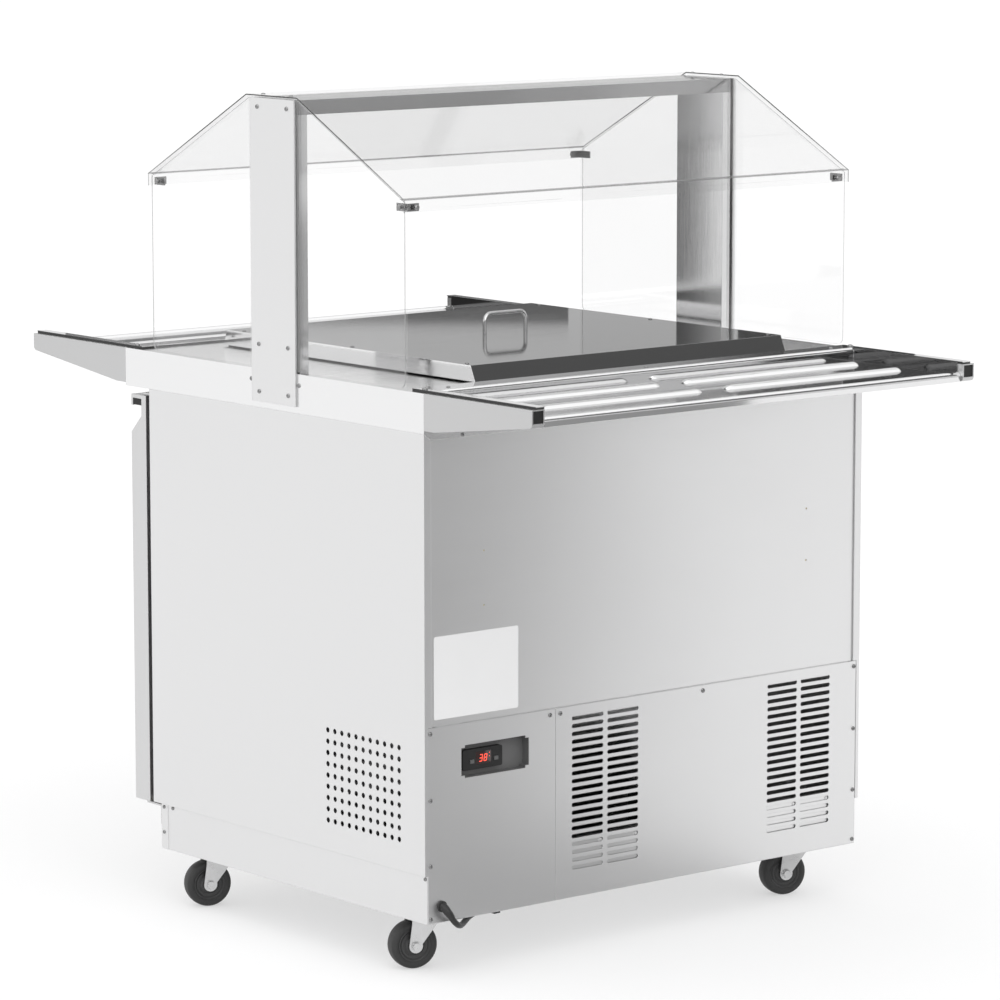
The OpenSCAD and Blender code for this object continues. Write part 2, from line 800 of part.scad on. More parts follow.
module panel_screws() color("silver") {
    for (z = [cover_z1 - 9, 285, 182, skirt_z + 7.6])
        for (x = [-cover_x + 5, cover_x - 5])
            screw_back([x, cover_y, z], 3.6, 2.4);
    for (x = [seam_x - 11, seam_x + 10, 113])
        screw_back([x, cover_y, cover_z1 - 9], 3.6, 2.4);
    for (x = [-hx + 75.5, -81, 98, hx - 67.5])
        screw_back([x, back_y, edge_z - strip_h / 2 - 1.5], 3, 2);
    for (s = [0, 1])
        mirror([s, 0, 0]) {
            screw_left([-plinth_x - 1.2, plinth_front - 7, plinth_top - 6], 3.2, 2);
            screw_left([-plinth_x - 1.2, plinth_front - 7, plinth_top - 48], 3.2, 2);
            screw_left([-plinth_x, plinth_front - 30, plinth_top - 5], 3.2, 2);
            screw_left([-plinth_x, back_y + 7, plinth_top - 5], 3.2, 2);
        }
    for (s = [0, 1])
        mirror([0, s, 0])
            for (x = [-399, 0, 399])
                screw_up([x, hy - 13.5, rim_z + thin], 3.2, 2);
}

// ---------- doors ----------

module door_blank() difference() {
    along_x(door_x0, door_x1)
        polygon([[door_y0, door_z0], [door_y1, door_z0], [door_y1, bevel_z],
            [door_y0 + neck_t, bevel_z + door_t - neck_t], [door_y0 + neck_t, door_z1 - hook_t],
            [door_y1 - hook_lip, door_z1 - hook_t], [door_y1 - hook_lip, hook_z], [door_y1, hook_z],
            [door_y1, door_z1], [door_y0, door_z1]]);
    for (z = [door_z0 - 1, door_z1 - 12])
        translate([pivot_x, pivot_y, z]) cylinder(r = pivot_r + run, h = 13);
}

module door_right() color("silver") door_blank();
module door_left() color("silver") mirror([1, 0, 0]) door_blank();

module gasket_ring() {
    gx0 = door_x0 + 4;
    gx1 = pivot_x + 1.5;
    gz0 = door_z0 + 8;
    gz1 = door_z1 - 4;
    along_y(front_y + 0.4, door_y0) difference() {
        translate([gx0, gz0]) square([gx1 - gx0, gz1 - gz0]);
        translate([gx0 + gasket_w, gz0 + gasket_w])
            square([gx1 - gx0 - 2 * gasket_w, gz1 - gz0 - 2 * gasket_w]);
    }
}

module door_gasket_right() color("dimgray") gasket_ring();
module door_gasket_left() color("dimgray") mirror([1, 0, 0]) gasket_ring();

module hook_plug(x) {
    along_x(x, x + 3)
        polygon([[door_y0 + neck_t + slip, hook_z + 1], [door_y1 - hook_lip - slip, hook_z + 1],
            [door_y1 - hook_lip - slip, door_z1 - hook_t - slip],
            [door_y0 + neck_t + slip, door_z1 - hook_t - slip]]);
}

module plug_pair() {
    hook_plug(door_x0 + 0.5);
    hook_plug(door_x1 - 3.5);
}

module handle_plugs_right() color("black") plug_pair();
module handle_plugs_left() color("black") mirror([1, 0, 0]) plug_pair();

module hinge_brackets() color("dimgray") both_ends() {
    // upper leaf and pin
    box([pivot_x - 14, front_y, door_z1 + 1.5], [pivot_x + 8, pivot_y + 8, door_z1 + 4.5]);
    box([pivot_x - 14, front_y, door_z1 + 1.5], [pivot_x + 8, front_y + 3, edge_z - 1]);
    translate([pivot_x, pivot_y, door_z1 - 10]) cylinder(r = pivot_r, h = 14);
    // lower leaf and pin
    box([pivot_x - 14, plinth_front, door_z0 - 4.5], [pivot_x + 8, pivot_y + 8, door_z0 - 1.5]);
    box([pivot_x - 14, plinth_front, door_z0 - 34], [pivot_x + 8, plinth_front + 3, door_z0 - 1.5]);
    translate([pivot_x, pivot_y, door_z0 - 4]) cylinder(r = pivot_r, h = 14);
}

// ---------- lid ----------

function lid_outline(g) = [
    [lid_y - lid_dep / 2 - lid_flare + g, lid_z0],
    [lid_y + lid_dep / 2 + lid_flare - g, lid_z0],
    [lid_y + lid_dep / 2 - g * 0.7, lid_z1 - g],
    [lid_y - lid_dep / 2 + g * 0.7, lid_z1 - g]
];

module lid() color("silver") difference() {
    along_x(-lid_len / 2, lid_len / 2) polygon(lid_outline(0));
    along_x(-lid_len / 2 + thin, lid_len / 2 - thin) difference() {
        polygon(lid_outline(thin * 1.1));
    }
    box([-lid_len / 2 + thin, lid_y - lid_dep / 2 - lid_flare + thin * 1.1, lid_z0 - 1],
        [lid_len / 2 - thin, lid_y + lid_dep / 2 + lid_flare - thin * 1.1, lid_z0 + 0.01]);
}

module lid_handle() color("silver") translate([0, lid_mid, lid_z1]) {
    r = handle_rod / 2;
    bend = 2 * handle_rod;
    leg = handle_w / 2;
    top = handle_h - r;
    both_ends() {
        translate([leg, 0, 0]) cylinder(r = r, h = top - bend);
        translate([leg - bend, 0, top - bend])
            rotate([90, 0, 0]) rotate_extrude(angle = 90) translate([bend, 0]) circle(r = r);
    }
    rod_x([0, 0, top], 2 * (leg - bend), handle_rod);
}

module lid_feet() color("black") both_ends() for (s = [-1, 1]) {
    y = lid_y + s * (lid_dep / 2 - 2);
    box([lid_len / 2 - thin - slip - 16, min(y, y - s * 13), top_z + lift],
        [lid_len / 2 - thin - slip, max(y, y - s * 13), lid_z1 - thin * 1.1 - slip]);
}

module lid_screws() color("silver") both_ends() for (k = [-1, 0, 1])
    screw_up([lid_len / 2 - 10, lid_mid + k * (lid_dep / 2 - 27), lid_z1], 3.2, 2);

// ---------- tray slides ----------

function bead_ball() = (bead_w * bead_w / 4 + bead_h * bead_h) / (2 * bead_h);

// one raised bead with rounded ends, grown by g
module bead(x0, x1, y, g) {
    r = bead_ball() + g;
    w = bead_w / 2;
    translate([0, y, tray_z + bead_h - bead_ball()]) {
        translate([x0 + w, 0, 0]) rotate([0, 90, 0]) cylinder(r = r, h = x1 - x0 - 2 * w);
        for (x = [x0 + w, x1 - w])
            translate([x, 0, 0]) sphere(r);
    }
}

module beads(g) {
    both_ends()
        for (d = [44, 142])
            bead(bead_gap, hx - bead_end, hy + d, g);
}

// sheet bent to a roll around y, z, seen from the end
module rolled(y, z, r) translate([y, z]) difference() {
    circle(r = r);
    circle(r = r - thin);
}

module tray(reach) {
    ix = hx - arm_w - slip - thin;
    out = hy + reach - 5;
    wall_y = hy + fold_r - thin;
    difference() {
        union() {
            // rim over the worktop and the brackets
            box([-hx + rim_end, hy - rim_w, rim_z], [hx - rim_end, hy + reach, rim_z + thin]);
            // sunk tray
            box([-ix - thin, wall_y, tray_z - thin], [ix + thin, out - roll_r, rim_z + thin / 2]);
        }
        box([-ix, wall_y + thin, tray_z], [ix, hy + reach + 1, rim_z + 5]);
        box([-ix, hy, rim_z + thin - fold_r], [ix, hy + fold_r + 1, rim_z + 5]);
        box([-ix, out - 2 * roll_r + thin, tray_z - 5], [ix, out, rim_z + 5]);
    }
    // rounded fold beside the worktop
    along_x(-ix, ix) intersection() {
        rolled(hy, rim_z + thin - fold_r, fold_r);
        translate([hy, rim_z + thin - fold_r]) square(fold_r + 1);
    }
    // outer edge, rolled up from the floor and folded down outside
    along_x(-ix - thin, ix + thin) {
        intersection() {
            rolled(out - roll_r, roll_z, roll_r);
            union() {
                translate([out - 2 * roll_r, tray_z - thin]) square(2 * roll_r);
                translate([out - roll_r, roll_z]) square(2 * roll_r);
            }
        }
        translate([out - thin, roll_z - roll_drop]) square([thin, roll_drop + 0.1]);
    }
}

module pressed_tray(reach) difference() {
    union() {
        tray(reach);
        intersection() {
            beads(0);
            box([-hx, hy, tray_z - thin], [hx, hy + reach, rim_z]);
        }
    }
    difference() {
        beads(-thin);
        box([-hx, hy, tray_z + rim_z], [hx, hy + reach, tray_z + 2 * rim_z]);
    }
}

module tray_slides() color("silver") {
    pressed_tray(reach_front);
    mirror([0, 1, 0]) pressed_tray(reach_back);
}

module gasket_u(reach) difference() {
    box([-hx + rim_end, hy - rim_w, top_z], [hx - rim_end, hy + reach - 1, rim_z]);
    box([-hx + arm_w + slip, hy, top_z - 1], [hx - arm_w - slip, hy + reach, rim_z + 1]);
}

module slide_gaskets() color("black") {
    gasket_u(reach_front);
    mirror([0, 1, 0]) gasket_u(reach_back);
}

function arm_side(reach) = concat(
    [[hy, top_z], [hy, top_z - arm_root], [hy + knee, top_z - arm_root]],
    arc([hy + reach - 7, top_z - arm_tip + 7], 7, -82, -8, 4),
    [[hy + reach, top_z]]
);

module arm(reach) difference() {
    along_x(hx - arm_w, hx) polygon(arm_side(reach));
    along_x(hx - arm_w + 2, hx - 2) polygon(inset(arm_side(reach), 2));
    box([hx - arm_w + 2, hy + reach - 9, top_z - arm_tip + 7], [hx - 2, hy + reach + 1, top_z - 2]);
}

module slide_brackets() color("whitesmoke") both_ends() {
    arm(reach_front);
    mirror([0, 1, 0]) arm(reach_back);
}

module arm_cap(reach)
    box([hx - arm_w + 2 + slip, hy + reach - 9, top_z - arm_tip + 7 + slip],
        [hx - 2 - slip, hy + reach - 1.5, top_z - 2 - slip]);

module bracket_caps() color("black") both_ends() {
    arm_cap(reach_front);
    mirror([0, 1, 0]) arm_cap(reach_back);
}

// ---------- breath guard ----------

module guard_frame() color("gray") difference() {
    union() {
        both_ends()
            box([post_in, guard_y - post_w / 2, top_z], [post_out, guard_y + post_w / 2, guard_top]);
        box([-post_in - 1, guard_y - post_w / 2, guard_top - beam_h],
            [post_in + 1, guard_y + post_w / 2, guard_top]);
    }
    both_ends()
        box([post_in + skin, guard_y - post_w / 2 + skin, top_z + skin],
            [post_out - skin, guard_y + post_w / 2 - skin, guard_top - skin]);
    box([-post_in - 3, guard_y - post_w / 2 + skin, guard_top - beam_h + skin],
        [post_in + 3, guard_y + post_w / 2 - skin, guard_top - skin]);
}

module guard_plates() color("whitesmoke") both_ends()
    box([pane_out, guard_y - post_w / 2, plate_z], [pane_out + plate_t, guard_y + post_w / 2, guard_top]);

canopy_line = [
    [guard_y + canopy_half, lip_z], [guard_y + canopy_half, fold_z],
    [guard_y + ridge_half, canopy_top], [guard_y - ridge_half, canopy_top],
    [guard_y - canopy_half, fold_z], [guard_y - canopy_half, lip_z]
];

module clip_bolts(r) both_ends() for (s = [-1, 1]) {
    translate([pane_in - 3, guard_y + s * (canopy_half - 19), clip_z]) rotate([0, 90, 0])
        cylinder(r = r, h = pane_t + 5);
    translate([pane_in - 14, guard_y + s * (canopy_half - canopy_t / 2 - 0.5), clip_z]) rotate([90, 0, 0])
        cylinder(r = r, h = canopy_t + 5, center = true);
}

module canopy() color("lightblue", 0.4) difference() {
    along_x(-canopy_x, canopy_x) polygon(bent(canopy_line, canopy_t));
    clip_bolts(clip_bolt + slip);
}

module end_panes() color("lightblue", 0.4) difference() {
    both_ends() {
        c = canopy_half - canopy_t - 0.4;
        z0 = top_z + 3;
        slope = canopy_fall / (canopy_half - ridge_half);
        u = guard_top - 0.4;
        // where the underside of the sloping canopy meets the pane's upright edge
        edge = u - (c - ridge_half + 3) * slope;
        along_x(pane_in, pane_out)
            polygon(concat(arc([guard_y - c + 12, z0 + 12], 12, 180, 270, 6),
                arc([guard_y + c - 12, z0 + 12], 12, 270, 360, 6),
                [[guard_y + c, edge], [guard_y + ridge_half - 3, u], [guard_y - ridge_half + 3, u],
                    [guard_y - c, edge]]));
    }
    clip_bolts(clip_bolt + slip);
}

module pane_clips() color("gray") {
    both_ends() for (s = [-1, 1]) {
        y = guard_y + s * (canopy_half - canopy_t);
        z0 = clip_z - clip_h / 2;
        box([pane_in - 2, min(y, y - s * 27), z0], [pane_in, max(y, y - s * 27), z0 + clip_h]);
        box([pane_in - 22, min(y, y - s * 2), z0], [pane_in, max(y, y - s * 2), z0 + clip_h]);
        translate([pane_out, guard_y + s * (canopy_half - 19), clip_z])
            rotate([0, 90, 0]) screw_head(4.5, 2.2);
        translate([pane_in - 14, guard_y + s * canopy_half, clip_z])
            rotate([s * -90, 0, 0]) screw_head(4.5, 2.2);
    }
    clip_bolts(clip_bolt);
}

module guard_screws() color("silver") {
    for (s = [0, 1])
        mirror([s, 0, 0]) {
            for (y = [-38, 38])
                for (z = [guard_top - 14, top_z + 39, top_z - 36])
                    screw_left([-pane_out - plate_t, guard_y + y, z], 3.6, 2.2);
            for (y = [-62, 62])
                screw_left([-hx, guard_y + y, top_z - 18], 3.6, 2.2);
            for (y = [-36, 36])
                screw_up([-pane_in + 2, guard_y + y, canopy_top], 3.6, 2.2);
        }
    // bolts that clamp the slide rims to the worktop
    for (s = [0, 1])
        mirror([0, s, 0])
            both_ends() screw_up([hx - 14, hy - bolt_in, rim_z + thin], 4.6, 3);
}

// ---------- mains lead ----------

function ring(c, t, r, n, a0) = let (s = unit(cross(t, [0, 0, 1])), u = cross(s, t)) [
    for (k = [0:n - 1]) c + r * (cos(a0 + 360 * k / n) * s + sin(a0 + 360 * k / n) * u)
];
function heading(p, i) = unit(p[min(i + 1, len(p) - 1)] - p[max(i - 1, 0)]);

module tube(p, r, n, a0) {
    m = len(p);
    points = [for (i = [0:m - 1]) each ring(p[i], heading(p, i), r, n, a0)];
    sides = [
        for (i = [0:m - 2])
            for (k = [0:n - 1])
                for (f = [0, 1])
                    f == 0 ? [i * n + k, (i + 1) * n + k, i * n + (k + 1) % n]
                    : [i * n + (k + 1) % n, (i + 1) * n + k, (i + 1) * n + (k + 1) % n]
    ];
    first = [for (k = [1:n - 2]) [0, k, k + 1]];
    last = [for (k = [1:n - 2]) [(m - 1) * n, (m - 1) * n + k + 1, (m - 1) * n + k]];
    polyhedron(points, concat(sides, first, last));
}

// smooth line through the route's points
function spline(a, b, c, d, u) =
    0.5 * (2 * b + (c - a) * u + (2 * a - 5 * b + 4 * c - d) * u * u + (3 * b - a - 3 * c + d) * u * u * u);
function smooth(p, k) = let (n = len(p)) concat([
    for (i = [0:n - 2])
        for (j = [0:k - 1])
            spline(p[max(i - 1, 0)], p[i], p[i + 1], p[min(i + 2, n - 1)], j / k)
], [p[n - 1]]);
function run_of(p) = len(p) < 2 ? 0 : sum([for (i = [1:len(p) - 1]) norm(p[i] - p[i - 1])]);
function sum(v, i = 0) = i >= len(v) ? 0 : v[i] + sum(v, i + 1);

cord_path = smooth(cord_route, 3);

function coil_point(c, r, turn, z) = [coil_x + r * cos(turn * 360), coil_y + r * sin(turn * 360), z];
function ease(u) = (1 - cos(180 * u)) / 2;
function coil_at(t) =
    t <= coil_turns_in
        ? coil_point(0, coil_out - coil_pitch * t, t, coil_top)
    : t <= coil_turns_in + 0.5
        ? let (u = (t - coil_turns_in) * 2)
            coil_point(0, coil_in - 1.8 * sin(180 * u), t, coil_top - coil_rise * ease(u))
    : coil_point(0, coil_in + coil_pitch * (t - coil_turns_in - 0.5), t, floor_c);
coil_turns = coil_turns_in + 0.5 + coil_turns_out;
coil_end = coil_at(coil_turns);
plug_at = [coil_end[0], coil_end[1] + tail, plug_r];
coil_path = concat(
    [[coil_x + coil_out, coil_y - cord_d + lift, coil_top]],
    [for (i = [0:24 * coil_turns]) coil_at(i / 24)],
    [for (u = [0.15, 0.32, 0.5, 0.68, 0.85, 1])
        coil_end + [0, tail * u, (plug_r - floor_c) * ease(max(0, (u - 0.15) / 0.7 > 1 ? 1 : (u - 0.15) / 0.7))]]
);

// least gap between turns, on points at least half a turn apart
coil_gap = min([
    for (i = [0:len(coil_path) - 14])
        for (j = [i + 13:len(coil_path) - 1])
            norm(coil_path[i] - coil_path[j])
]) - cord_d;
echo(coil_gap = coil_gap, lead_length = run_of(cord_path) + run_of(coil_path));

module above_floor() difference() {
    children();
    translate([coil_x - 400, coil_y - 400, -40]) cube([800, 800, 40]);
}

module cord() color("black") tube(cord_path, cord_r, 10, 0);
module cord_coil() color("black") above_floor() tube(coil_path, cord_r, 6, 90);

module plug() color("black") translate(plug_at) rotate([-90, 0, 0]) {
    // moulded strain relief and body
    rotate_extrude()
        polygon([[0, 0.0], [cord_r + 0.6, 0.0], [cord_r + 1.4, 12], [cord_r + 2.2, 20], [plug_r - 1.2, 32],
            [plug_r, 38], [plug_r, 56], [plug_r - 1.5, 58], [0, 58]]);
    // two blades and the earth pin
    for (x = [-6.35, 6.35])
        translate([x - 0.75, -3.2 - 2, 57]) cube([1.5, 6.4, 18]);
    translate([0, 7.5, 57]) cylinder(d = 4.8, h = 20);
}

// grommet in the cover and the clips under the floor pan
module cord_guides() color("black") {
    translate([grommet_x, cover_y, grommet_z]) rotate([90, 0, 0]) difference() {
        union() {
            cylinder(r = cord_r + 4, h = 3.2);
            translate([0, 0, -thin - 0.5]) cylinder(r = cord_r + 2, h = 4);
            translate([0, 0, -thin - 2.2]) cylinder(r = cord_r + 3.6, h = 1.8);
        }
        translate([0, 0, -10]) cylinder(r = cord_r + lift, h = 30);
    }
    for (c = clip_spots)
        translate([c[0], c[1], 0]) rotate([0, 0, c[2]]) difference() {
            union() {
                box([-6, -8.5, clip_at - 7.5], [6, 8.5, pan_floor_z]);
                box([-6, -8.5, pan_floor_z - 2], [6, 22, pan_floor_z]);
            }
            translate([0, 0, clip_at]) rotate([0, 90, 0]) cylinder(r = cord_r + 0.8, h = 30, center = true);
        }
}

// ---------- castors ----------

function swivel(i) = [
    castor_x * (i == 1 || i == 3 ? -1 : 1),
    castor_y + castor_span / 2 * (i <= 2 ? -1 : 1),
    0
];

module castor_plates() color("silver") for (i = [1:4]) translate(swivel(i)) {
    box([-33, -46, pan_floor_z - 3], [33, 46, pan_floor_z]);
    translate([0, 0, fork_z + fork_t + 0.4]) cylinder(r = 24, h = pan_floor_z - fork_z - fork_t - 1);
    translate([0, 0, fork_z - 3]) cylinder(r = king_r, h = pan_floor_z - fork_z + 2.5);
    translate([0, 0, fork_z - 3.6]) cylinder(r = king_r + 4, h = 3.2);
    for (x = [-25, 25])
        for (y = [-38, 38])
            translate([x, y, pan_floor_z - 7]) cylinder(r = 6.5, h = 4.2, $fn = 6);
}

module castor_fork(i) color("silver") translate(swivel(i)) rotate([0, 0, castor_yaw]) {
    // bearing plate with the king pin's hole
    difference() {
        union() {
            translate([0, 0, fork_z]) cylinder(r = 23, h = fork_t);
            box([-24, -cheek_in - cheek_t, fork_z], [20, cheek_in + cheek_t, fork_z + fork_t]);
        }
        translate([0, 0, fork_z - 1]) cylinder(r = king_r + run, h = 9);
    }
    // pressed cheeks
    difference() {
        along_y(-cheek_in - cheek_t, cheek_in + cheek_t) {
            translate([-trail, axle_z]) circle(r = 11);
            polygon([[-24, fork_z + 1], [20, fork_z + 1], [20, fork_z - 8], [-trail + 10.6, axle_z + 3],
                [-trail + 10.2, axle_z - 4], [-trail - 10.2, axle_z - 4], [-trail - 10.8, axle_z + 2],
                [-24, fork_z - 8]]);
        }
        box([-90, -cheek_in, 0], [90, cheek_in, fork_z + 2]);
    }
    // axle bolt and nut
    translate([-trail, 0, axle_z]) rotate([90, 0, 0]) {
        cylinder(r = axle_r, h = 2 * cheek_in + 12, center = true);
        translate([0, 0, cheek_in + cheek_t]) cylinder(r = 8, h = 1);
        translate([0, 0, cheek_in + cheek_t]) cylinder(r = 7, h = 6, $fn = 6);
        translate([0, 0, -cheek_in - cheek_t - 5]) cylinder(r = 7, h = 5, $fn = 6);
    }
}

module castor_wheel(i) color("black") translate(swivel(i)) rotate([0, 0, castor_yaw])
    translate([-trail, 0, axle_z]) rotate([90, 0, 0]) rotate_extrude($fn = 72)
        polygon(concat(
            [[axle_r + run, -hub_w / 2], [12, -hub_w / 2], [13, -wheel_w / 2 + 3], [22, -wheel_w / 2 + 3],
                [24, -wheel_w / 2]],
            arc([axle_z - 6, -wheel_w / 2 + 6], 6, -90, 0, 4),
            arc([axle_z - 6, wheel_w / 2 - 6], 6, 0, 90, 4),
            [[24, wheel_w / 2], [22, wheel_w / 2 - 3], [13, wheel_w / 2 - 3], [12, hub_w / 2],
                [axle_r + run, hub_w / 2]]));

module castor_fork_1() castor_fork(1);
module castor_fork_2() castor_fork(2);
module castor_fork_3() castor_fork(3);
module castor_fork_4() castor_fork(4);
module castor_wheel_1() castor_wheel(1);
module castor_wheel_2() castor_wheel(2);
module castor_wheel_3() castor_wheel(3);
module castor_wheel_4() castor_wheel(4);

// ---------- the parts in place ----------

placed() worktop();
placed() liner();
placed() insulation();
placed() end_panels();
placed() back_panel();
placed() control_cover();
placed() vent_cover();
placed() base_frame();
placed() divider_bar();
placed() pan_third_1();
placed() pan_third_2();
placed() pan_third_3();
placed() pan_half_long();
placed() shelf_rails();
placed() shelf();
placed() door_left();
placed() door_right();
placed() door_gasket_left();
placed() door_gasket_right();
placed() handle_plugs_left();
placed() handle_plugs_right();
placed() hinge_brackets();
placed() lid();
placed() lid_handle();
placed() lid_feet();
placed() lid_screws();
placed() tray_slides();
placed() slide_gaskets();
placed() slide_brackets();
placed() bracket_caps();
placed() guard_frame();
placed() guard_plates();
placed() canopy();
placed() end_panes();
placed() pane_clips();
placed() guard_screws();
placed() panel_screws();
placed() controller_pocket();
placed() controller();
placed() controller_key_left();
placed() controller_key_right();
placed() cord_guides();
placed() cord();
placed() cord_coil();
placed() plug();
placed() compressor();
placed() condenser();
placed() fan_shroud();
placed() fan_blade();
placed() evaporator();
placed() evaporator_fan();
placed() castor_plates();
placed() castor_fork_1();
placed() castor_fork_2();
placed() castor_fork_3();
placed() castor_fork_4();
placed() castor_wheel_1();
placed() castor_wheel_2();
placed() castor_wheel_3();
placed() castor_wheel_4();
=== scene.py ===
# %% [markdown]
# A refrigerated salad bar on castors, dressed for a studio picture.
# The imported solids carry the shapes. This file gives them their finishes and adds the small things
# that a solid model leaves out: screw recesses, the controller's display, moulded castor wheels,
# the mains lead as one real cord, and the light.

# %% Load the frame
import json
import math

import bmesh
import bpy
from mathutils import Matrix, Vector


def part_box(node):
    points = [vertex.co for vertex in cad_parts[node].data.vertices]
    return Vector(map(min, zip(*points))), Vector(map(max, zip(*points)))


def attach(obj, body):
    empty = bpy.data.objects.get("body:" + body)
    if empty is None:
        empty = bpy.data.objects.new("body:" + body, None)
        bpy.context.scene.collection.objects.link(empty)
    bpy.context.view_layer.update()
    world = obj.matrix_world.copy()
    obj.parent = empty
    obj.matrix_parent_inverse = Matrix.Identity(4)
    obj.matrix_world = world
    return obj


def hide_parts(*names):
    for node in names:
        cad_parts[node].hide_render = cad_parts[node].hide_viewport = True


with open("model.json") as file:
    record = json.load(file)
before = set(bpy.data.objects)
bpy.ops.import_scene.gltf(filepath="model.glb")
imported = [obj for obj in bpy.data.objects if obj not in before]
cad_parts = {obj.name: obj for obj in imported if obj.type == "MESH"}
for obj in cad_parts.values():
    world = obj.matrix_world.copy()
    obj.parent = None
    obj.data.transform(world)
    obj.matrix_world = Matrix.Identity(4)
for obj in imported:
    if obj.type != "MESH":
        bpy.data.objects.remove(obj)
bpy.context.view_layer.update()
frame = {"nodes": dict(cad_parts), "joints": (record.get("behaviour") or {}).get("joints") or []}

nodes = frame["nodes"]

# %% [markdown]
# The solids were drawn with the worktop's middle at zero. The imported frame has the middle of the
# whole outline there, and the two tray slides differ in reach, so the frame sits 6 mm towards -Y.
# One helper turns drawing sizes in millimetres into places in the frame, and another reads the
# box of a solid, because a new piece takes its place from the solid that carries it where it can.

# %% Places
SHIFT_Y = -6.0


def at(x, y, z):
    return Vector((x / 1000, (y + SHIFT_Y) / 1000, z / 1000))


def drawn_y(metres):
    return metres * 1000 - SHIFT_Y


def corners_of(name):
    low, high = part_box(name)
    return Vector(low), Vector(high)


guard_low, guard_high = corners_of("guard_frame")
print("top of the breath guard's beam:", round(guard_high.z, 3), "m")

# %% [markdown]
# The camera is made first. The picture was taken from a corner, from far away with a long lens:
# its upright lines hardly lean. The place and the focal length come from straight edges.

# %% Camera
CAMERA_AT = at(-4844.9, -5900.6, 1804.9)
LOOK = Vector((0.63018, 0.76234, -0.14733))
SENSOR_MM, FOCAL_MM = 36, 169.35
FRAME_SHIFT = (-0.0089, -0.0027)
lens_data = bpy.data.cameras.new("camera")
lens_data.sensor_width = SENSOR_MM
lens_data.lens = FOCAL_MM
lens_data.shift_x, lens_data.shift_y = FRAME_SHIFT
lens_data.clip_end = 100
camera = bpy.data.objects.new("camera", lens_data)
camera.location = CAMERA_AT
camera.rotation_mode = "QUATERNION"
camera.rotation_quaternion = LOOK.to_track_quat("-Z", "Y")
bpy.context.collection.objects.link(camera)
bpy.context.scene.camera = camera
print("camera:", round(CAMERA_AT.length, 2), "m away, lens", FOCAL_MM, "mm")

# %% [markdown]
# The mains lead is one length of round rubber cord, 9.5 mm thick. It leaves a grommet in the
# control cover, hooks down in front of it and back under its lower edge, runs under the floor in
# clips and lies in a neat coil on the floor with its plug. A Bezier curve with automatic handles
# passes through the route's points as a stiff cord would. The route is the same as that of the
# solid. The coil's upper layer winds inwards, drops at its inner turn, and the lower layer winds
# out again; its own weight presses the lowest turns a little into the floor.

# %% Lead: route and coil
CORD_D = 9.5
COIL_X, COIL_Y = 30, 150
COIL_IN, COIL_PITCH, COIL_RISE, COIL_DIP = 37, 10.2, 10.3, 1.8
UPPER_TURNS, DROP_TURNS, LOWER_TURNS = 2.5, 0.5, 3
KNOTS_PER_TURN = 24
FLOOR_Z = CORD_D / 2 - CORD_D / 10
COIL_OUT = COIL_IN + COIL_PITCH * UPPER_TURNS
TOP_Z = FLOOR_Z + COIL_RISE
PLUG_R = 13
TAIL, TAIL_LEVEL, TAIL_CLIMB = 84, 0.15, 0.7

lead_route = [
    (-425, -376, 117), (-425, -386, 117), (-425, -396, 116.3), (-423, -405, 109), (-418, -409, 99),
    (-410, -409, 90.5), (-400, -404, 85.5), (-389, -396, 83.5), (-377, -388, 85), (-362, -381, 89.5),
    (-344, -377, 93), (-320, -376, 94), (-296, -374, 94), (-272, -364, 94), (-250, -344, 94),
    (-218, -300, 94), (-170, -234, 94), (-122, -168, 94), (-88, -122, 93), (-54, -78, 84),
    (-18, -34, 66), (18, 10, 45), (50, 50, 28), (74, 90, 18),
    (COIL_X + COIL_OUT - 1.4, COIL_Y - 28, 14.9),
    (COIL_X + COIL_OUT, COIL_Y - CORD_D, TOP_Z),
]


def ease(u):
    return (1 - math.cos(math.pi * u)) / 2


def coil_at(turn):
    inner = UPPER_TURNS + DROP_TURNS
    if turn <= UPPER_TURNS:
        r, z = COIL_OUT - COIL_PITCH * turn, TOP_Z
    elif turn <= inner:
        u = (turn - UPPER_TURNS) / DROP_TURNS
        r, z = COIL_IN - COIL_DIP * math.sin(math.pi * u), TOP_Z - COIL_RISE * ease(u)
    else:
        r, z = COIL_IN + COIL_PITCH * (turn - inner), FLOOR_Z
    a = 2 * math.pi * turn
    return (COIL_X + r * math.cos(a), COIL_Y + r * math.sin(a), z)


def tail_at(end, u):
    climbed = ease(min(1, max(0, (u - TAIL_LEVEL) / TAIL_CLIMB)))
    return (end[0], end[1] + TAIL * u, end[2] + (PLUG_R - FLOOR_Z) * climbed)


knots = round(KNOTS_PER_TURN * (UPPER_TURNS + DROP_TURNS + LOWER_TURNS))
coil = [coil_at(i / KNOTS_PER_TURN) for i in range(knots + 1)]
tail = [tail_at(coil[-1], u) for u in (0.15, 0.32, 0.5, 0.68, 0.85, 1)]
lead_points = [at(*p) for p in lead_route + coil + tail]
print("lead's points:", len(lead_points))


# %% [markdown]
# A curve object with a round bevel gives the rubber jacket. The bevel is 1 m deep and each point
# scales it down to the real radius, because Blender takes a curve's box from the points' radii.
# With a radius that falls from point to point the same helper makes the tapered sleeve.

# %% Lead: curve
def cord_curve(name, points, radii):
    data = bpy.data.curves.new(name, "CURVE")
    data.dimensions = "3D"
    data.bevel_depth = 1.0
    data.bevel_resolution = 5
    data.resolution_u = 6
    data.use_fill_caps = True
    line = data.splines.new("BEZIER")
    line.bezier_points.add(len(points) - 1)
    for knot, p, radius in zip(line.bezier_points, points, radii):
        knot.co = p
        knot.handle_left_type = knot.handle_right_type = "AUTO"
        knot.radius = radius / 1000
    thing = bpy.data.objects.new(name, data)
    bpy.context.collection.objects.link(thing)
    return thing


def curve_length(points):
    return sum((b - a).length for a, b in zip(points, points[1:]))


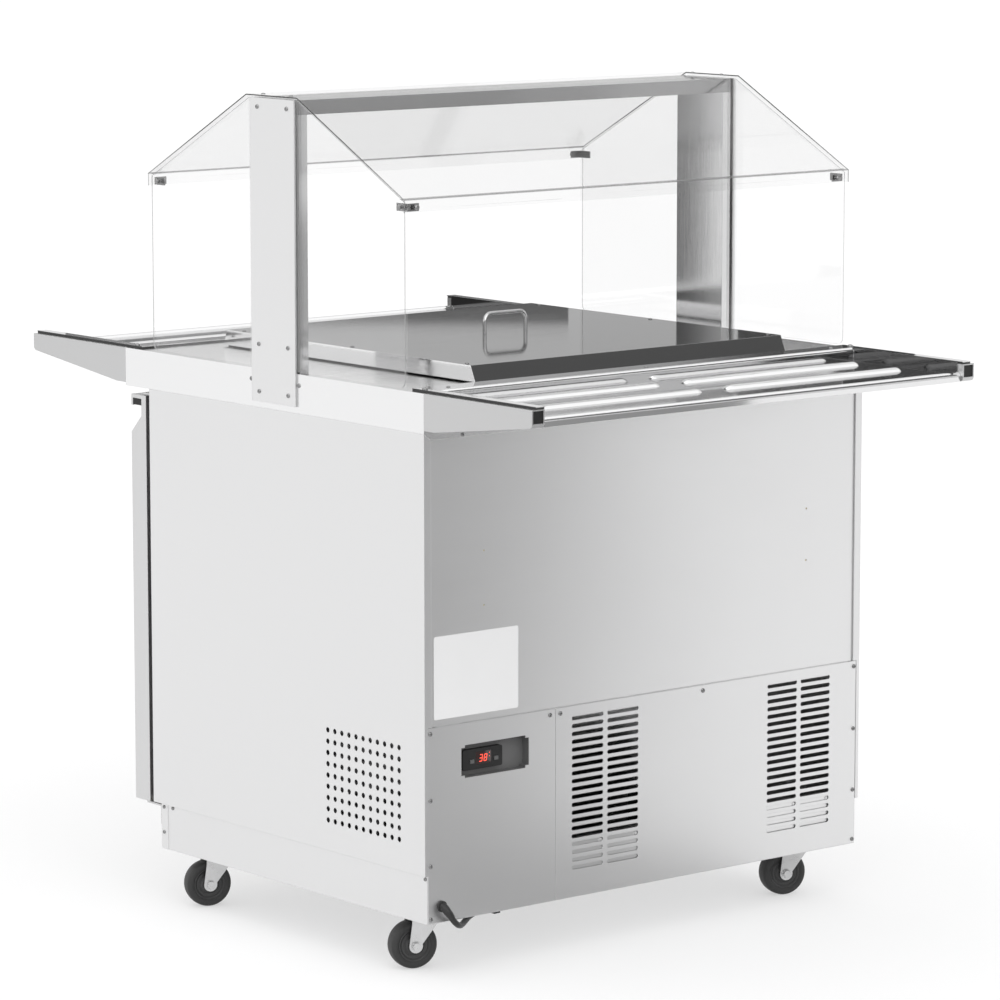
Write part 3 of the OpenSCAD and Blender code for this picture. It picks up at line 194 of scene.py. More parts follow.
lead = cord_curve("mains_lead", lead_points, [CORD_D / 2] * len(lead_points))
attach(lead, "cabinet")
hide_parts("cord", "cord_coil")
print("lead by its points:", round(curve_length(lead_points), 3), "m")

# %% [markdown]
# Finishes are node trees. Writing their sums as nodes by hand is long and hard to read, so one
# small class stands for a socket that carries a number, and Python's own operators add the nodes.


# %% A socket with arithmetic
class Signal:
    def __init__(self, tree, socket):
        self.tree, self.socket = tree, socket

    def maths(self, operation, a, b=None, clamp=False):
        node = self.tree.nodes.new("ShaderNodeMath")
        node.operation = operation
        node.use_clamp = clamp
        for port, value in zip(node.inputs, (a, b)):
            if isinstance(value, Signal):
                self.tree.links.new(value.socket, port)
            elif value is not None:
                port.default_value = value
        return Signal(self.tree, node.outputs[0])

    def __add__(self, other):
        return self.maths("ADD", self, other)

    def __radd__(self, other):
        return self.maths("ADD", other, self)

    def __sub__(self, other):
        return self.maths("SUBTRACT", self, other)

    def __rsub__(self, other):
        return self.maths("SUBTRACT", other, self)

    def __mul__(self, other):
        return self.maths("MULTIPLY", self, other)

    def __rmul__(self, other):
        return self.maths("MULTIPLY", other, self)

    def __gt__(self, other):
        return self.maths("GREATER_THAN", self, other)

    def __lt__(self, other):
        return self.maths("LESS_THAN", self, other)

    def size(self):
        return self.maths("ABSOLUTE", self)

    def power(self, n):
        return self.maths("POWER", self, n)

    def held(self):
        return self.maths("ADD", self, 0.0, clamp=True)

    def either(self, other):
        return self.maths("MAXIMUM", self, other)


# %% [markdown]
# A finish is one material. Its add() method makes any node from its type, its settings and its
# inputs; mix() blends two colours; own() is the place on the piece itself and normal() the way a
# face looks, and part() takes one axis of either. The faint clouds and specks of real surfaces
# come from noise(), and the fine drawn streaks of brushed steel from grain(), whose noise is long
# in one direction and fine across it.

# %% Finish
GRAIN_FINE, GRAIN_LONG = 700.0, 7.0


class Finish:
    def __init__(self, name, **constants):
        self.material = bpy.data.materials.new(name)
        self.material.use_nodes = True
        self.tree = self.material.node_tree
        self.shader = self.tree.nodes["Principled BSDF"]
        for key, value in constants.items():
            self.shader.inputs[key.replace("_", " ")].default_value = value

    def add(self, kind, settings=None, inputs=None, output=0):
        node = self.tree.nodes.new("ShaderNode" + kind)
        for key, value in (settings or {}).items():
            setattr(node, key, value)
        for key, value in (inputs or {}).items():
            port = node.inputs[key]
            if isinstance(value, Signal):
                self.tree.links.new(value.socket, port)
            else:
                port.default_value = value
        return Signal(self.tree, node.outputs[output])

    def feed(self, key, signal):
        self.tree.links.new(signal.socket, self.shader.inputs[key])

    def mix(self, amount, a, b):
        return self.add("Mix", {"data_type": "RGBA"}, {0: amount, 6: a, 7: b}, output=2)

    def normal(self):
        return self.add("TexCoord", output=1)

    def own(self):
        return self.add("TexCoord", output=3)

    def part(self, vector, axis):
        return self.add("SeparateXYZ", inputs={0: vector}, output="XYZ".index(axis))

    def place(self, scale=(1, 1, 1)):
        return self.add("Mapping", inputs={"Vector": self.own(), "Scale": scale})

    def noise(self, scale, detail=2.0, rough=0.5, stretch=(1, 1, 1)):
        return self.add(
            "TexNoise", {"noise_dimensions": "3D"},
            {"Vector": self.place(stretch), "Scale": scale, "Detail": detail, "Roughness": rough})

    def grain(self, along):
        stretch = tuple(GRAIN_LONG if axis == along else GRAIN_FINE for axis in "XYZ")
        return self.noise(1.0, 3.0, 0.6, stretch)

    def bump(self, height, strength, distance, rounding=0.0):
        inputs = {"Strength": strength, "Distance": distance, "Height": height}
        if rounding:
            inputs["Normal"] = self.add("Bevel", {"samples": 4}, {"Radius": rounding})
        self.feed("Normal", self.add("Bump", inputs=inputs))

    def put_on(self, *names):
        for name in names:
            thing = nodes[name] if name in nodes else bpy.data.objects[name]
            thing.data.materials.clear()
            thing.data.materials.append(self.material)
        print(self.material.name, "on", ", ".join(names))


def grey(v):
    return (v, v, v * 1.003, 1)


# %% [markdown]
# Stainless sheet is one alloy with several finishes. The cabinet's panels are finely brushed and
# satin, the doors a shade darker, the worktop smoother, and the lid, the tray slides and the
# posts are polished enough to mirror what stands round them. Colour, roughness and a very low
# bump all follow the same streaks, and soft clouds a hand wide keep large panels from looking
# printed. A folded sheet has no knife edges: the Bevel node rounds the normal within a millimetre
# of each edge, which gives the thin bright line along every fold without one more face in the
# mesh. Seen at a low angle any metal turns white; rolled steel keeps a grey bloom there, which
# the tint at grazing angles gives. Some faces, picked by the way they face or by height, get
# another tone of painted light or shade. Painted shade darkens the worktop's level top and the
# slides' ends, and makes the beam darker than the posts. Painted light makes the lid's ends
# brighter than its top.

# %% Brushed steel
FOLD_RADIUS = 0.0012
DARKER, LIGHTER = 0.86, 1.12
CLOUD_SHARE, SPECK_SHARE = 0.03, 0.03
STREAK_GLOSS, CLOUD_GLOSS = 0.16, 0.08
FACES_ALONG = 0.7
BEAM_HIGH = 0.023


def shades(tone):
    return grey(tone * DARKER), grey(min(1.0, tone * LIGHTER))


def brushed(name, tone, rough, along, streak=0.10, relief=0.06, graze=1.0, painted_lighting=None):
    steel = Finish(name, Metallic=1.0, Specular_Tint=grey(graze))
    lines = steel.grain(along)
    clouds = steel.noise(3.5, 3.0, 0.6)
    specks = steel.noise(900.0, 1.0)
    shade = (lines - 0.5) * streak + (clouds - 0.5) * CLOUD_SHARE + (specks - 0.5) * SPECK_SHARE + 0.5
    colour = steel.mix(shade, *shades(tone))
    # Painted light and shade: the picked faces get another tone in the base colour.
    if painted_lighting:
        painted_faces, other = painted_lighting
        colour = steel.mix(painted_faces(steel), colour, steel.mix(shade, *shades(other)))
    steel.feed("Base Color", colour)
    steel.feed("Roughness", (lines - 0.5) * STREAK_GLOSS + (clouds - 0.5) * CLOUD_GLOSS + rough)
    steel.bump(lines, relief, 0.0004, FOLD_RADIUS)
    return steel


# Level faces, which get painted shade on the worktop's top.
def painted_shade_level_faces(steel):
    return steel.part(steel.normal(), "Z") > FACES_ALONG


# End faces, which get the lid's painted light and the slides' painted shade.
def painted_end_faces(steel):
    return steel.part(steel.normal(), "X").size() > FACES_ALONG


# The beam's part of the guard frame, picked by height for painted shade.
def beam(steel):
    return steel.part(steel.own(), "Z") > guard_high.z - BEAM_HIGH


# %% [markdown]
# Tone and roughness are matched sheet by sheet against the picture. The streaks run the way
# each sheet was drawn: along the panels, the worktop and the slides, and up the doors and posts.

# %% Brushed steel: which sheet has which
panel_steel = brushed("panel steel", 0.77, 0.34, "X")
end_steel = brushed("end panel steel", 0.765, 0.36, "Y")
door_steel = brushed("door steel", 0.66, 0.34, "Z")
# Painted shade: the worktop's level top gets a darker tone than its sides.
worktop_steel = brushed("worktop steel", 0.84, 0.24, "X", painted_lighting=(painted_shade_level_faces, 0.62))
# Painted light: the lid's ends get a brighter tone than its top.
bright_steel = brushed("bright sheet", 0.40, 0.07, "X", streak=0.05, relief=0.015, graze=0.5,
                       painted_lighting=(painted_end_faces, 0.86))
handle_steel = brushed("handle wire", 0.60, 0.10, "X", streak=0.05, relief=0.015)
# Painted shade: the slides' ends get a dark tone.
slide_steel = brushed("tray slide steel", 0.80, 0.07, "X", streak=0.05, relief=0.015, graze=0.82,
                      painted_lighting=(painted_end_faces, 0.10))
# Painted shade: the beam gets a darker tone than the posts.
post_steel = brushed("portal steel", 0.73, 0.11, "Z", graze=0.6, painted_lighting=(beam, 0.40))
arm_steel = brushed("bracket steel", 0.58, 0.34, "Y")
inner_steel = brushed("inner steel", 0.62, 0.28, "X")

end_steel.put_on("end_panels", "guard_plates", "base_frame")
arm_steel.put_on("slide_brackets")
panel_steel.put_on("back_panel", "control_cover", "vent_cover")
door_steel.put_on("door_left", "door_right")
worktop_steel.put_on("worktop")
bright_steel.put_on("lid")
handle_steel.put_on("lid_handle")
slide_steel.put_on("tray_slides")
post_steel.put_on("guard_frame")
inner_steel.put_on("divider_bar", "pan_third_1", "pan_third_2", "pan_third_3", "pan_half_long",
                   "shelf_rails", "hinge_brackets")

# %% [markdown]
# Zinc plating on the castors' forks and plates and on the fan's shroud is brighter than paint but
# cloudy, with small crystals. It is a metal with patches in colour and roughness instead of
# streaks. Pane clips are small and dark, and get a darker brushed steel. The screws are small and
# get a darker brushed steel too; their dark tone is painted reflection of the dark their domes mirror.

# %% Plated parts, screws and clips
zinc = Finish("zinc plate", Metallic=1.0)
patches = zinc.noise(60.0, 4.0, 0.6)
spangle = zinc.noise(700.0, 2.0)
zinc.feed("Base Color", zinc.mix((patches * 0.7 + spangle * 0.3).held(), grey(0.50), grey(0.78)))
zinc.feed("Roughness", patches * 0.18 + 0.20)
zinc.bump(spangle, 0.08, 0.0003)
zinc.put_on("fan_shroud", "castor_plates",
            "castor_fork_1", "castor_fork_2", "castor_fork_3", "castor_fork_4")

# Painted reflection: the screws' steel is darkened for the dark that their domes mirror.
screw_steel_painted_dark = brushed("screw steel painted dark", 0.30, 0.08, "Z", streak=0.04, relief=0.01)
clip_steel = brushed("clip steel", 0.30, 0.25, "Z", relief=0.02)
clip_steel.put_on("pane_clips")


# %% [markdown]
# Black parts differ in how they take light: moulded plastic has a fine eroded grain, rubber is
# duller and slightly dusty, and stove enamel on the compressor is glossy with a wavy skin. Haze
# is the dust and the handling marks, pits are the grain, and sheen is how much a face mirrors
# when it is looked at straight.

# %% Black and grey parts
HAZE_GLOSS, PIT_GLOSS = 0.14, 0.1


def moulded(name, tone, rough, grain_scale=1400.0, relief=0.25, dust=0.02, sheen=0.5):
    skin = Finish(name, Specular_IOR_Level=sheen)
    pits = skin.noise(grain_scale, 2.0, 0.6)
    haze = skin.noise(14.0, 4.0, 0.6)
    skin.feed("Base Color", skin.mix((haze * 0.8).held(), grey(tone), grey(tone + dust)))
    skin.feed("Roughness", haze * HAZE_GLOSS + (pits - 0.5) * PIT_GLOSS + rough)
    skin.bump(pits, relief, 0.0004)
    return skin


black_plastic = moulded("black plastic", 0.014, 0.38, sheen=0.25)
key_plastic = moulded("key plastic", 0.10, 0.45)
rubber = moulded("gasket rubber", 0.022, 0.58, 900.0, 0.2, 0.03)
jacket = moulded("lead jacket", 0.012, 0.36, 500.0, 0.12, 0.012)
enamel = moulded("stove enamel", 0.016, 0.16, 40.0, 0.05, 0.01)
pocket_plastic = moulded("pocket plastic", 0.125, 0.40)
black_plastic.put_on("lid_feet", "bracket_caps", "handle_plugs_left", "handle_plugs_right",
                     "controller", "fan_blade", "evaporator_fan")
pocket_plastic.put_on("controller_pocket")
key_plastic.put_on("controller_key_left", "controller_key_right")
rubber.put_on("door_gasket_left", "door_gasket_right", "slide_gaskets", "cord_guides")
jacket.put_on("mains_lead")
enamel.put_on("compressor")

# %% [markdown]
# Inside the cabinet: a pressed aluminium liner with its stucco grain, white coated shelf wires,
# aluminium fins, and the foam's skin, which shows nowhere once the covers are on.

# %% Inner parts
liner_metal = Finish("stucco liner", Metallic=1.0)
stucco = liner_metal.add("TexVoronoi", {"feature": "SMOOTH_F1"},
                         {"Vector": liner_metal.place(), "Scale": 160.0, "Smoothness": 0.6})
liner_metal.feed("Base Color", liner_metal.mix(stucco, grey(0.62), grey(0.84)))
liner_metal.feed("Roughness", stucco * 0.2 + 0.28)
liner_metal.bump(stucco, 0.3, 0.0006)
liner_metal.put_on("liner")

wire_coat = Finish("shelf coat", Coat_Weight=0.3)
runs = wire_coat.noise(90.0, 3.0)
wire_coat.feed("Base Color", wire_coat.mix(runs, grey(0.78), grey(0.88)))
wire_coat.feed("Roughness", runs * 0.15 + 0.22)
wire_coat.bump(runs, 0.06, 0.0005)
wire_coat.put_on("shelf")

fin_metal = Finish("fin metal", Metallic=0.9)
oxide = fin_metal.noise(30.0, 4.0)
fin_metal.feed("Base Color", fin_metal.mix(oxide, grey(0.50), grey(0.72)))
fin_metal.feed("Roughness", oxide * 0.2 + 0.3)
fin_metal.bump(oxide, 0.1, 0.0005)
fin_metal.put_on("condenser", "evaporator")

foam = Finish("foam skin", Roughness=0.8)
cells = foam.noise(240.0, 3.0)
foam.feed("Base Color", foam.mix(cells, (0.62, 0.52, 0.28, 1), (0.78, 0.68, 0.40, 1)))
foam.bump(cells, 0.4, 0.001)
foam.put_on("insulation")

# %% [markdown]
# The breath guard is clear acrylic sheet. Real refraction through thin flat sheets moves almost
# nothing and costs many samples, so each face is a weak mirror over full transparency: how much it
# mirrors grows steeply with the angle, much as in Schlick's formula, and alpha carries it. A clear
# sheet shows best where it ends: light trapped inside makes the outer rim of a sawn edge look like a
# fine dark line, and the canopy's fold a fainter one. Both are painted shade, a dark tone in the
# colour and the alpha, and on the canopy's rim it grows darker towards the top. Beside each post a
# faint strip shows where the pane is bonded to it. The level ridge lies on the beam and hardly
# shows at all.

# %% Clear sheet: measures
canopy_low, canopy_high = corners_of("canopy")
PANE_END = corners_of("end_panes")[1].x
GUARD_Y = (canopy_low.y + canopy_high.y) / 2
CANOPY_HALF = canopy_high.y - GUARD_Y
CANOPY_TOP = canopy_high.z
CANOPY_LIP, RIDGE_HALF = 0.020, 0.066
FOLD_Z = canopy_low.z + CANOPY_LIP
CANOPY_FALL, SLOPE_WIDE = CANOPY_TOP - FOLD_Z, CANOPY_HALF - RIDGE_HALF
SLOPE_LONG = math.hypot(CANOPY_FALL, SLOPE_WIDE)
POST_HALF = (guard_high.y - guard_low.y) / 2
EDGE_LINE, FOLD_LINE, PANE_LINE = 0.0019, 0.0012, 0.0017
BOND_UNDER_POST, BOND_BESIDE_POST = 0.001, 0.0072
# Strengths of the painted shade along sawn edges, the canopy's rim and its fold, and of the bond strip.
RIM_AT_FOLD, RIM_GAIN = 0.6, 0.35
SAWN_EDGE_SHADE, FOLD_SHADE, PANE_EDGE_SHADE, BOND_DARK = 0.07, 0.5, 0.7, 0.25
STRAIGHT_ON, LEVEL_LOSS = 0.9, 0.85
SMEAR_VEIL, SMEAR_GLOSS = 0.015, 0.04
print("slope of the canopy:", round(SLOPE_LONG, 3), "m long")


# %% [markdown]
# The panes and the canopy share one finish and differ in where their dark lines are: painted shade
# along sawn edges and folds, and the pane's bond strip. So the finish takes a function that tells
# from a face's direction and its place how dark a line is there.

# %% Clear sheet: finish
def clear_sheet(name, lines, line_tone, veil, tone, body):
    sheet = Finish(name)
    normal, own = sheet.normal(), sheet.own()
    line = lines(sheet, normal, own).held()
    facing = sheet.add("LayerWeight", inputs={"Blend": 0.5}, output=1)
    smear = sheet.noise(5.0, 3.0, 0.6)
    sloping = 1 - (sheet.part(normal, "Z").size() > STRAIGHT_ON) * LEVEL_LOSS
    mirror = (facing.power(4) * veil + smear * SMEAR_VEIL + body) * sloping
    # Where a line is, the colour takes its tone: painted shade at edges and folds, the bond strip's own
    # colour beside the posts.
    sheet.feed("Base Color", sheet.mix(line, grey(tone), grey(line_tone)))
    sheet.feed("Metallic", 1 - line)
    sheet.feed("Roughness", smear * SMEAR_GLOSS + line * 0.25 + 0.02)
    sheet.feed("Alpha", (line + mirror).held())
    return sheet


def pane_painted_edges_and_bond(sheet, normal, own):
    side = sheet.part(normal, "X").size() > STRAIGHT_ON
    outer = sheet.part(own, "X").size() > PANE_END - PANE_LINE
    off_middle = (sheet.part(own, "Y") - GUARD_Y).size()
    bond = (side * (off_middle > POST_HALF - BOND_UNDER_POST)
            * (off_middle < POST_HALF + BOND_BESIDE_POST))
    return (1 - side) * outer * PANE_EDGE_SHADE + bond * BOND_DARK


def canopy_painted_edges(sheet, normal, own):
    ends = sheet.part(normal, "X").size() > STRAIGHT_ON
    y, z = (sheet.part(own, "Y") - GUARD_Y).size(), sheet.part(own, "Z")
    above_fold, under_top = z - FOLD_Z, (z - CANOPY_TOP) * -1
    past_slope = (y - RIDGE_HALF) * CANOPY_FALL + (z - CANOPY_TOP) * SLOPE_WIDE
    under_slope = past_slope * (-1 / SLOPE_LONG)
    inside_lip = (y - CANOPY_HALF) * -1
    rim = ((under_top < EDGE_LINE).either(under_slope < EDGE_LINE)).either(inside_lip < EDGE_LINE)
    painted_rim_shade = (above_fold * (2 / CANOPY_FALL)).held() * RIM_GAIN + RIM_AT_FOLD
    fold = above_fold.size() < FOLD_LINE
    return ends * (rim * painted_rim_shade).either(SAWN_EDGE_SHADE) + (1 - ends) * fold * FOLD_SHADE


pane_finish = clear_sheet("clear pane", pane_painted_edges_and_bond, line_tone=0.30, veil=0.6, tone=0.96, body=0.04)
pane_finish.put_on("end_panes")
canopy_finish = clear_sheet("clear canopy", canopy_painted_edges, line_tone=0.03, veil=0.35, tone=0.35,
                            body=0.05)
print("finishes:", len(bpy.data.materials))

# %% [markdown]
# The next pieces are modelled in mesh code. One helper closes each of them: it merges doubled
# corners, turns the faces outwards, keeps hard edges hard under smooth shading, and says what the
# piece rides on and which solid it stands for. The others turn a profile round an axis, make a
# box between two corners with or without rounded edges, and lay points along an arc.

# %% Mesh helpers
def piece_of(bm, name, body, finish, takes_from, *stands_for, hard=35):
    bmesh.ops.remove_doubles(bm, verts=bm.verts, dist=4e-6)
    bmesh.ops.recalc_face_normals(bm, faces=bm.faces)
    mesh = bpy.data.meshes.new(name)
    bm.to_mesh(mesh)
    bm.free()
    mesh.shade_smooth()
    mesh.set_sharp_from_angle(angle=math.radians(hard))
    mesh.materials.append(finish.material)
    thing = bpy.data.objects.new(name, mesh)
    bpy.context.collection.objects.link(thing)
    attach(thing, body)
    if stands_for:
        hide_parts(*stands_for)
    print(name, "on", body, "faces:", len(mesh.polygons))
    return thing


def turned(bm, profile, centre, axis, steps):
    """Spin a closed profile of (radius, place along the axis), both in millimetres."""
    upright = Vector((0, 0, 1)).rotation_difference(Vector(axis)).to_matrix()
    corners = [bm.verts.new(centre + upright @ Vector((r / 1000, 0, h / 1000))) for r, h in profile]
    edges = [bm.edges.new(pair) for pair in zip(corners, corners[1:] + corners[:1])]
    bmesh.ops.spin(bm, geom=corners + edges, cent=centre, axis=axis, angle=2 * math.pi,
                   steps=steps, use_merge=True)


def box_between(bm, low, high):
    """A plain box between two corners in metres. Gives back its eight corners."""
    made = bmesh.ops.create_cube(bm, size=1)["verts"]
    bmesh.ops.scale(bm, verts=made, vec=high - low)
    bmesh.ops.translate(bm, verts=made, vec=(low + high) / 2)
    return made


def round_edges(bm, edges, offset, segments):
    bmesh.ops.bevel(bm, geom=edges, offset=offset, affect="EDGES", segments=segments,
                    profile=0.5, material=-1)


def block(bm, low, high, offset, segments=2):
    """A box between two corners in metres, all its edges rounded."""
    made = box_between(bm, low, high)
    round_edges(bm, [edge for edge in bm.edges if edge.verts[0] in made], offset, segments)


def arc(centre, radius, start, stop, steps):
    angles = [math.radians(start + (stop - start) * i / steps) for i in range(steps + 1)]
    return [(centre[0] + radius * math.cos(a), centre[1] + radius * math.sin(a)) for a in angles]


# %% [markdown]
# The canopy lies flat on the beam, so in the solids its underside and the beam's top are one
# plane. Light cannot tell two faces in one place apart, and the beam would look hollow. The
# canopy shown is a merged copy of the solid, with that part of its underside lifted by a hair.

# %% Canopy
HAIR = 0.0004
bm = bmesh.new()
bm.from_mesh(nodes["canopy"].data)
bmesh.ops.remove_doubles(bm, verts=bm.verts, dist=1e-6)
resting = [v for v in bm.verts if abs(v.co.z - guard_high.z) < 1e-4]
bmesh.ops.translate(bm, verts=resting, vec=(0, 0, HAIR))
print("canopy corners on the beam:", len(resting))
piece_of(bm, "canopy_sheet", "cabinet", canopy_finish, "clear", "canopy", hard=20)

# %% [markdown]
# A castor wheel is two mouldings: a soft black tyre with round shoulders and a fine parting line,
# and a harder core with a recessed web, stiffening rings and a hub that nearly fills the fork.
# Both are one profile turned round the axle. The axle's direction is that of the wheel's own
# joint, and its place is the middle of the solid's box.

# %% Castor wheels
WHEEL_STEPS = 72
axles = {joint["child"]: Vector(joint["axis"]) for joint in frame["joints"]}
tyre_rubber = moulded("tyre rubber", 0.020, 0.50, 600.0, 0.18, 0.025)
core_plastic = moulded("wheel core", 0.035, 0.34, 800.0, 0.12, 0.02)

half_tread = (
    arc((31.0, 8.6), 6.4, 90, 12, 8)
    + [(37.7, 6.0), (37.95, 3.0), (37.97, 0.5), (38.0, 0.35)])
tyre_profile = ([(25.5, 13.2), (27.0, 14.2), (28.6, 14.9)] + half_tread
                + [(r, -w) for r, w in reversed(half_tread)]
                + [(28.6, -14.9), (27.0, -14.2), (25.5, -13.2)])
half_core = [
    (5.3, 16.9), (9.2, 16.9), (10.2, 16.0), (10.6, 12.4), (12.2, 11.2), (15.0, 11.0), (15.6, 11.8),
    (17.0, 11.8), (17.6, 11.0), (21.4, 11.2), (22.6, 12.6), (24.6, 13.6), (25.6, 13.3)]
core_profile = half_core + [(r, -w) for r, w in reversed(half_core)]

for i in range(1, 5):
    low, high = corners_of(f"castor_wheel_{i}")
    middle, axle = (low + high) / 2, axles[f"wheel_{i}"]
    bm = bmesh.new()
    turned(bm, tyre_profile, middle, axle, WHEEL_STEPS)
    piece_of(bm, f"wheel_tyre_{i}", f"wheel_{i}", tyre_rubber, "tyre", f"castor_wheel_{i}", hard=50)
    bm = bmesh.new()
    turned(bm, core_profile, middle, axle, WHEEL_STEPS)
    piece_of(bm, f"wheel_core_{i}", f"wheel_{i}", core_plastic, "black_plastic", hard=40)

# %% [markdown]
# Every sheet-metal screw here is a low pan head with a cross recess. The solids give the place of
# each head: a group node is split into its islands, the short side of an island's box is the
# screw's axis, and the end with the smaller cap points outwards. The islands are taken in the
# mesh's order and the heads sorted by place, so that every run turns each cross the same way.


# %% Screws: where they are
def islands(name):
    bm = bmesh.new()
    bm.from_mesh(nodes[name].data)
    bmesh.ops.remove_doubles(bm, verts=bm.verts, dist=1e-6)
    seen = set()
    for first in bm.verts:
        if first in seen:
            continue
        seen.add(first)
        stack, group = [first], []
        while stack:
            corner = stack.pop()
            group.append(corner.co.copy())
            for edge in corner.link_edges:
                other = edge.other_vert(corner)
                if other not in seen:
                    seen.add(other)
                    stack.append(other)
        yield group
    bm.free()


def cap_radius(points, middle, k, end, depth):
    """The reach from the axis, along axis number k, of the corners near one end."""
    reach = [p - middle for p in points if abs(p[k] - end) < depth]
    for arm in reach:
        arm[k] = 0
    return max(arm.length for arm in reach)


def head_of(points):
    """Foot, axis, radius and height of one head; the last two in millimetres."""
    low = Vector([min(p[k] for p in points) for k in range(3)])
    high = Vector([max(p[k] for p in points) for k in range(3)])
    middle, size = (low + high) / 2, high - low
    k = min(range(3), key=lambda n: size[n])
    widths = [cap_radius(points, middle, k, end[k], size[k] * 0.1) for end in (low, high)]
    axis = Vector((0, 0, 0))
    axis[k] = 1 if widths[0] > widths[1] else -1
    return middle - axis * size[k] / 2, axis, max(widths) * 1000, size[k] * 1000


def by_place(head):
    return [round(c, 4) for c in head[0]]


screws = {name: sorted(map(head_of, islands(name)), key=by_place)
          for name in ("panel_screws", "guard_screws", "lid_screws")}
print("screw heads:", {name: len(heads) for name, heads in screws.items()})

# %% [markdown]
# A head is an upright rim with a quarter round over it, turned round the screw's axis. Its cross
# is two thin bars. One Boolean cuts all the crosses of a group at once, and each screw is turned
# on a little from the one before, because no fitter leaves them all in line.

# %% Screws: heads with a cross recess
RIM_SHARE, DOME_STEPS, HEAD_STEPS = 0.30, 6, 28
CUT_LONG, CUT_WIDE, CUT_TALL, CUT_AT = 1.05, 0.24, 0.8, 0.96
NEXT_TURNED = 37


def dome_of(r, h):
    angles = [math.pi / 2 * k / DOME_STEPS for k in range(1, DOME_STEPS)]
    quarter = [(r * math.cos(a), h * (RIM_SHARE + (1 - RIM_SHARE) * math.sin(a))) for a in angles]
    return [(0, 0), (r, 0), (r, h * RIM_SHARE)] + quarter + [(0, h)]


def cut_cross(bm, foot, axis, r, h, twist):
    upright = Vector((0, 0, 1)).rotation_difference(axis).to_matrix()
    for across in (0, 90):
        turn = upright @ Matrix.Rotation(math.radians(twist + across), 3, "Z")
        made = bmesh.ops.create_cube(bm, size=1)["verts"]
        bmesh.ops.scale(bm, verts=made, vec=Vector((r * CUT_LONG, r * CUT_WIDE, h * CUT_TALL)) / 1000)
        for corner in made:
            corner.co = foot + axis * h * CUT_AT / 1000 + turn @ corner.co


def as_object(bm, name):
    mesh = bpy.data.meshes.new(name)
    bm.to_mesh(mesh)
    bm.free()
    thing = bpy.data.objects.new(name, mesh)
    bpy.context.collection.objects.link(thing)
    return thing


def pan_heads(name, body, twist=0):
    heads, crosses = bmesh.new(), bmesh.new()
    for n, (foot, axis, r, h) in enumerate(screws[name]):
        turned(heads, dome_of(r, h), foot, axis, HEAD_STEPS)
        cut_cross(crosses, foot, axis, r, h, twist + NEXT_TURNED * n)
    bmesh.ops.remove_doubles(heads, verts=heads.verts, dist=4e-6)
    bmesh.ops.recalc_face_normals(heads, faces=heads.faces)
    plain, cutter = as_object(heads, "heads"), as_object(crosses, "crosses")
    cut = plain.modifiers.new("recess", "BOOLEAN")
    cut.object, cut.solver, cut.use_self = cutter, "EXACT", True
    done = bpy.data.meshes.new_from_object(plain.evaluated_get(bpy.context.evaluated_depsgraph_get()))
    bm = bmesh.new()
    bm.from_mesh(done)
    for helper in (plain, cutter):
        bpy.data.objects.remove(helper)
    piece_of(bm, name + "_crossed", body, screw_steel_painted_dark, "zinc", name, hard=30)


pan_heads("panel_screws", "cabinet")
pan_heads("guard_screws", "cabinet", twist=20)
pan_heads("lid_screws", "lid", twist=50)

# %% [markdown]
# Behind the lower four rows of the vent slots stands a strip of the base's own sheet, which keeps
# warm air from turning back; through the rows above one looks into the machine space. The strip
# is a bevelled sheet with its upper edge folded inwards, and a rivet sits behind each column. Its
# place is measured from the vent cover.

# %% Strip behind the lower slots
cover_low, cover_high = corners_of("vent_cover")
SLOT_COLUMNS = (-130, -56.5, 286, 359.5)
STRIP_Y = drawn_y(cover_high.y) + 1.1
STRIP_LEFT, STRIP_RIGHT = cover_low.x * 1000 + 20, cover_high.x * 1000 - 22
STRIP_LOW, STRIP_HIGH = cover_low.z * 1000 + 14.2, 184
STRIP_T, STRIP_FOLD, STRIP_SOFT = 1.2, 12, 0.0004
RIVET_IN, RIVET_Z = 29, 175.5
rivet = [(0, 0), (3.4, 0), (3.2, 0.4), (2.4, 0.75), (1.2, 0.95), (0, 1.0)]
bm = bmesh.new()
block(bm, at(STRIP_LEFT, STRIP_Y, STRIP_LOW), at(STRIP_RIGHT, STRIP_Y + STRIP_T, STRIP_HIGH), STRIP_SOFT)
block(bm, at(STRIP_LEFT, STRIP_Y + 0.1, STRIP_HIGH - STRIP_T),
      at(STRIP_RIGHT, STRIP_Y + STRIP_FOLD, STRIP_HIGH), STRIP_SOFT)
for x in SLOT_COLUMNS:
    turned(bm, rivet, at(x + RIVET_IN, STRIP_Y, RIVET_Z), Vector((0, -1, 0)), 20)
piece_of(bm, "vent_backing", "cabinet", panel_steel, "panel")

# %% [markdown]
# The controller's face has a dark red lens over a display that shows the inside temperature in
# plain numbers. The lens is a thin bevelled plate let into the face.

# %% Controller: lens
FACE_Y = drawn_y(corners_of("controller")[0].y)
WINDOW_X, WINDOW_Z = (-351, -320), (328, 348)
WINDOW_DEEP, WINDOW_GAP, LENS_SUNK = 0.8, 0.1, 0.15

lens = Finish("display lens", Coat_Weight=0.6)
tint = lens.noise(30.0, 2.0)
lens.feed("Base Color", lens.mix(tint, (0.020, 0.006, 0.006, 1), (0.034, 0.010, 0.009, 1)))
lens.feed("Roughness", tint * 0.05 + 0.10)
bm = bmesh.new()
block(bm, at(WINDOW_X[0] + WINDOW_GAP, FACE_Y + LENS_SUNK, WINDOW_Z[0] + WINDOW_GAP),
      at(WINDOW_X[1] - WINDOW_GAP, FACE_Y + WINDOW_DEEP, WINDOW_Z[1] - WINDOW_GAP), 0.0001)
piece_of(bm, "display_lens", "cabinet", lens, "black_plastic")

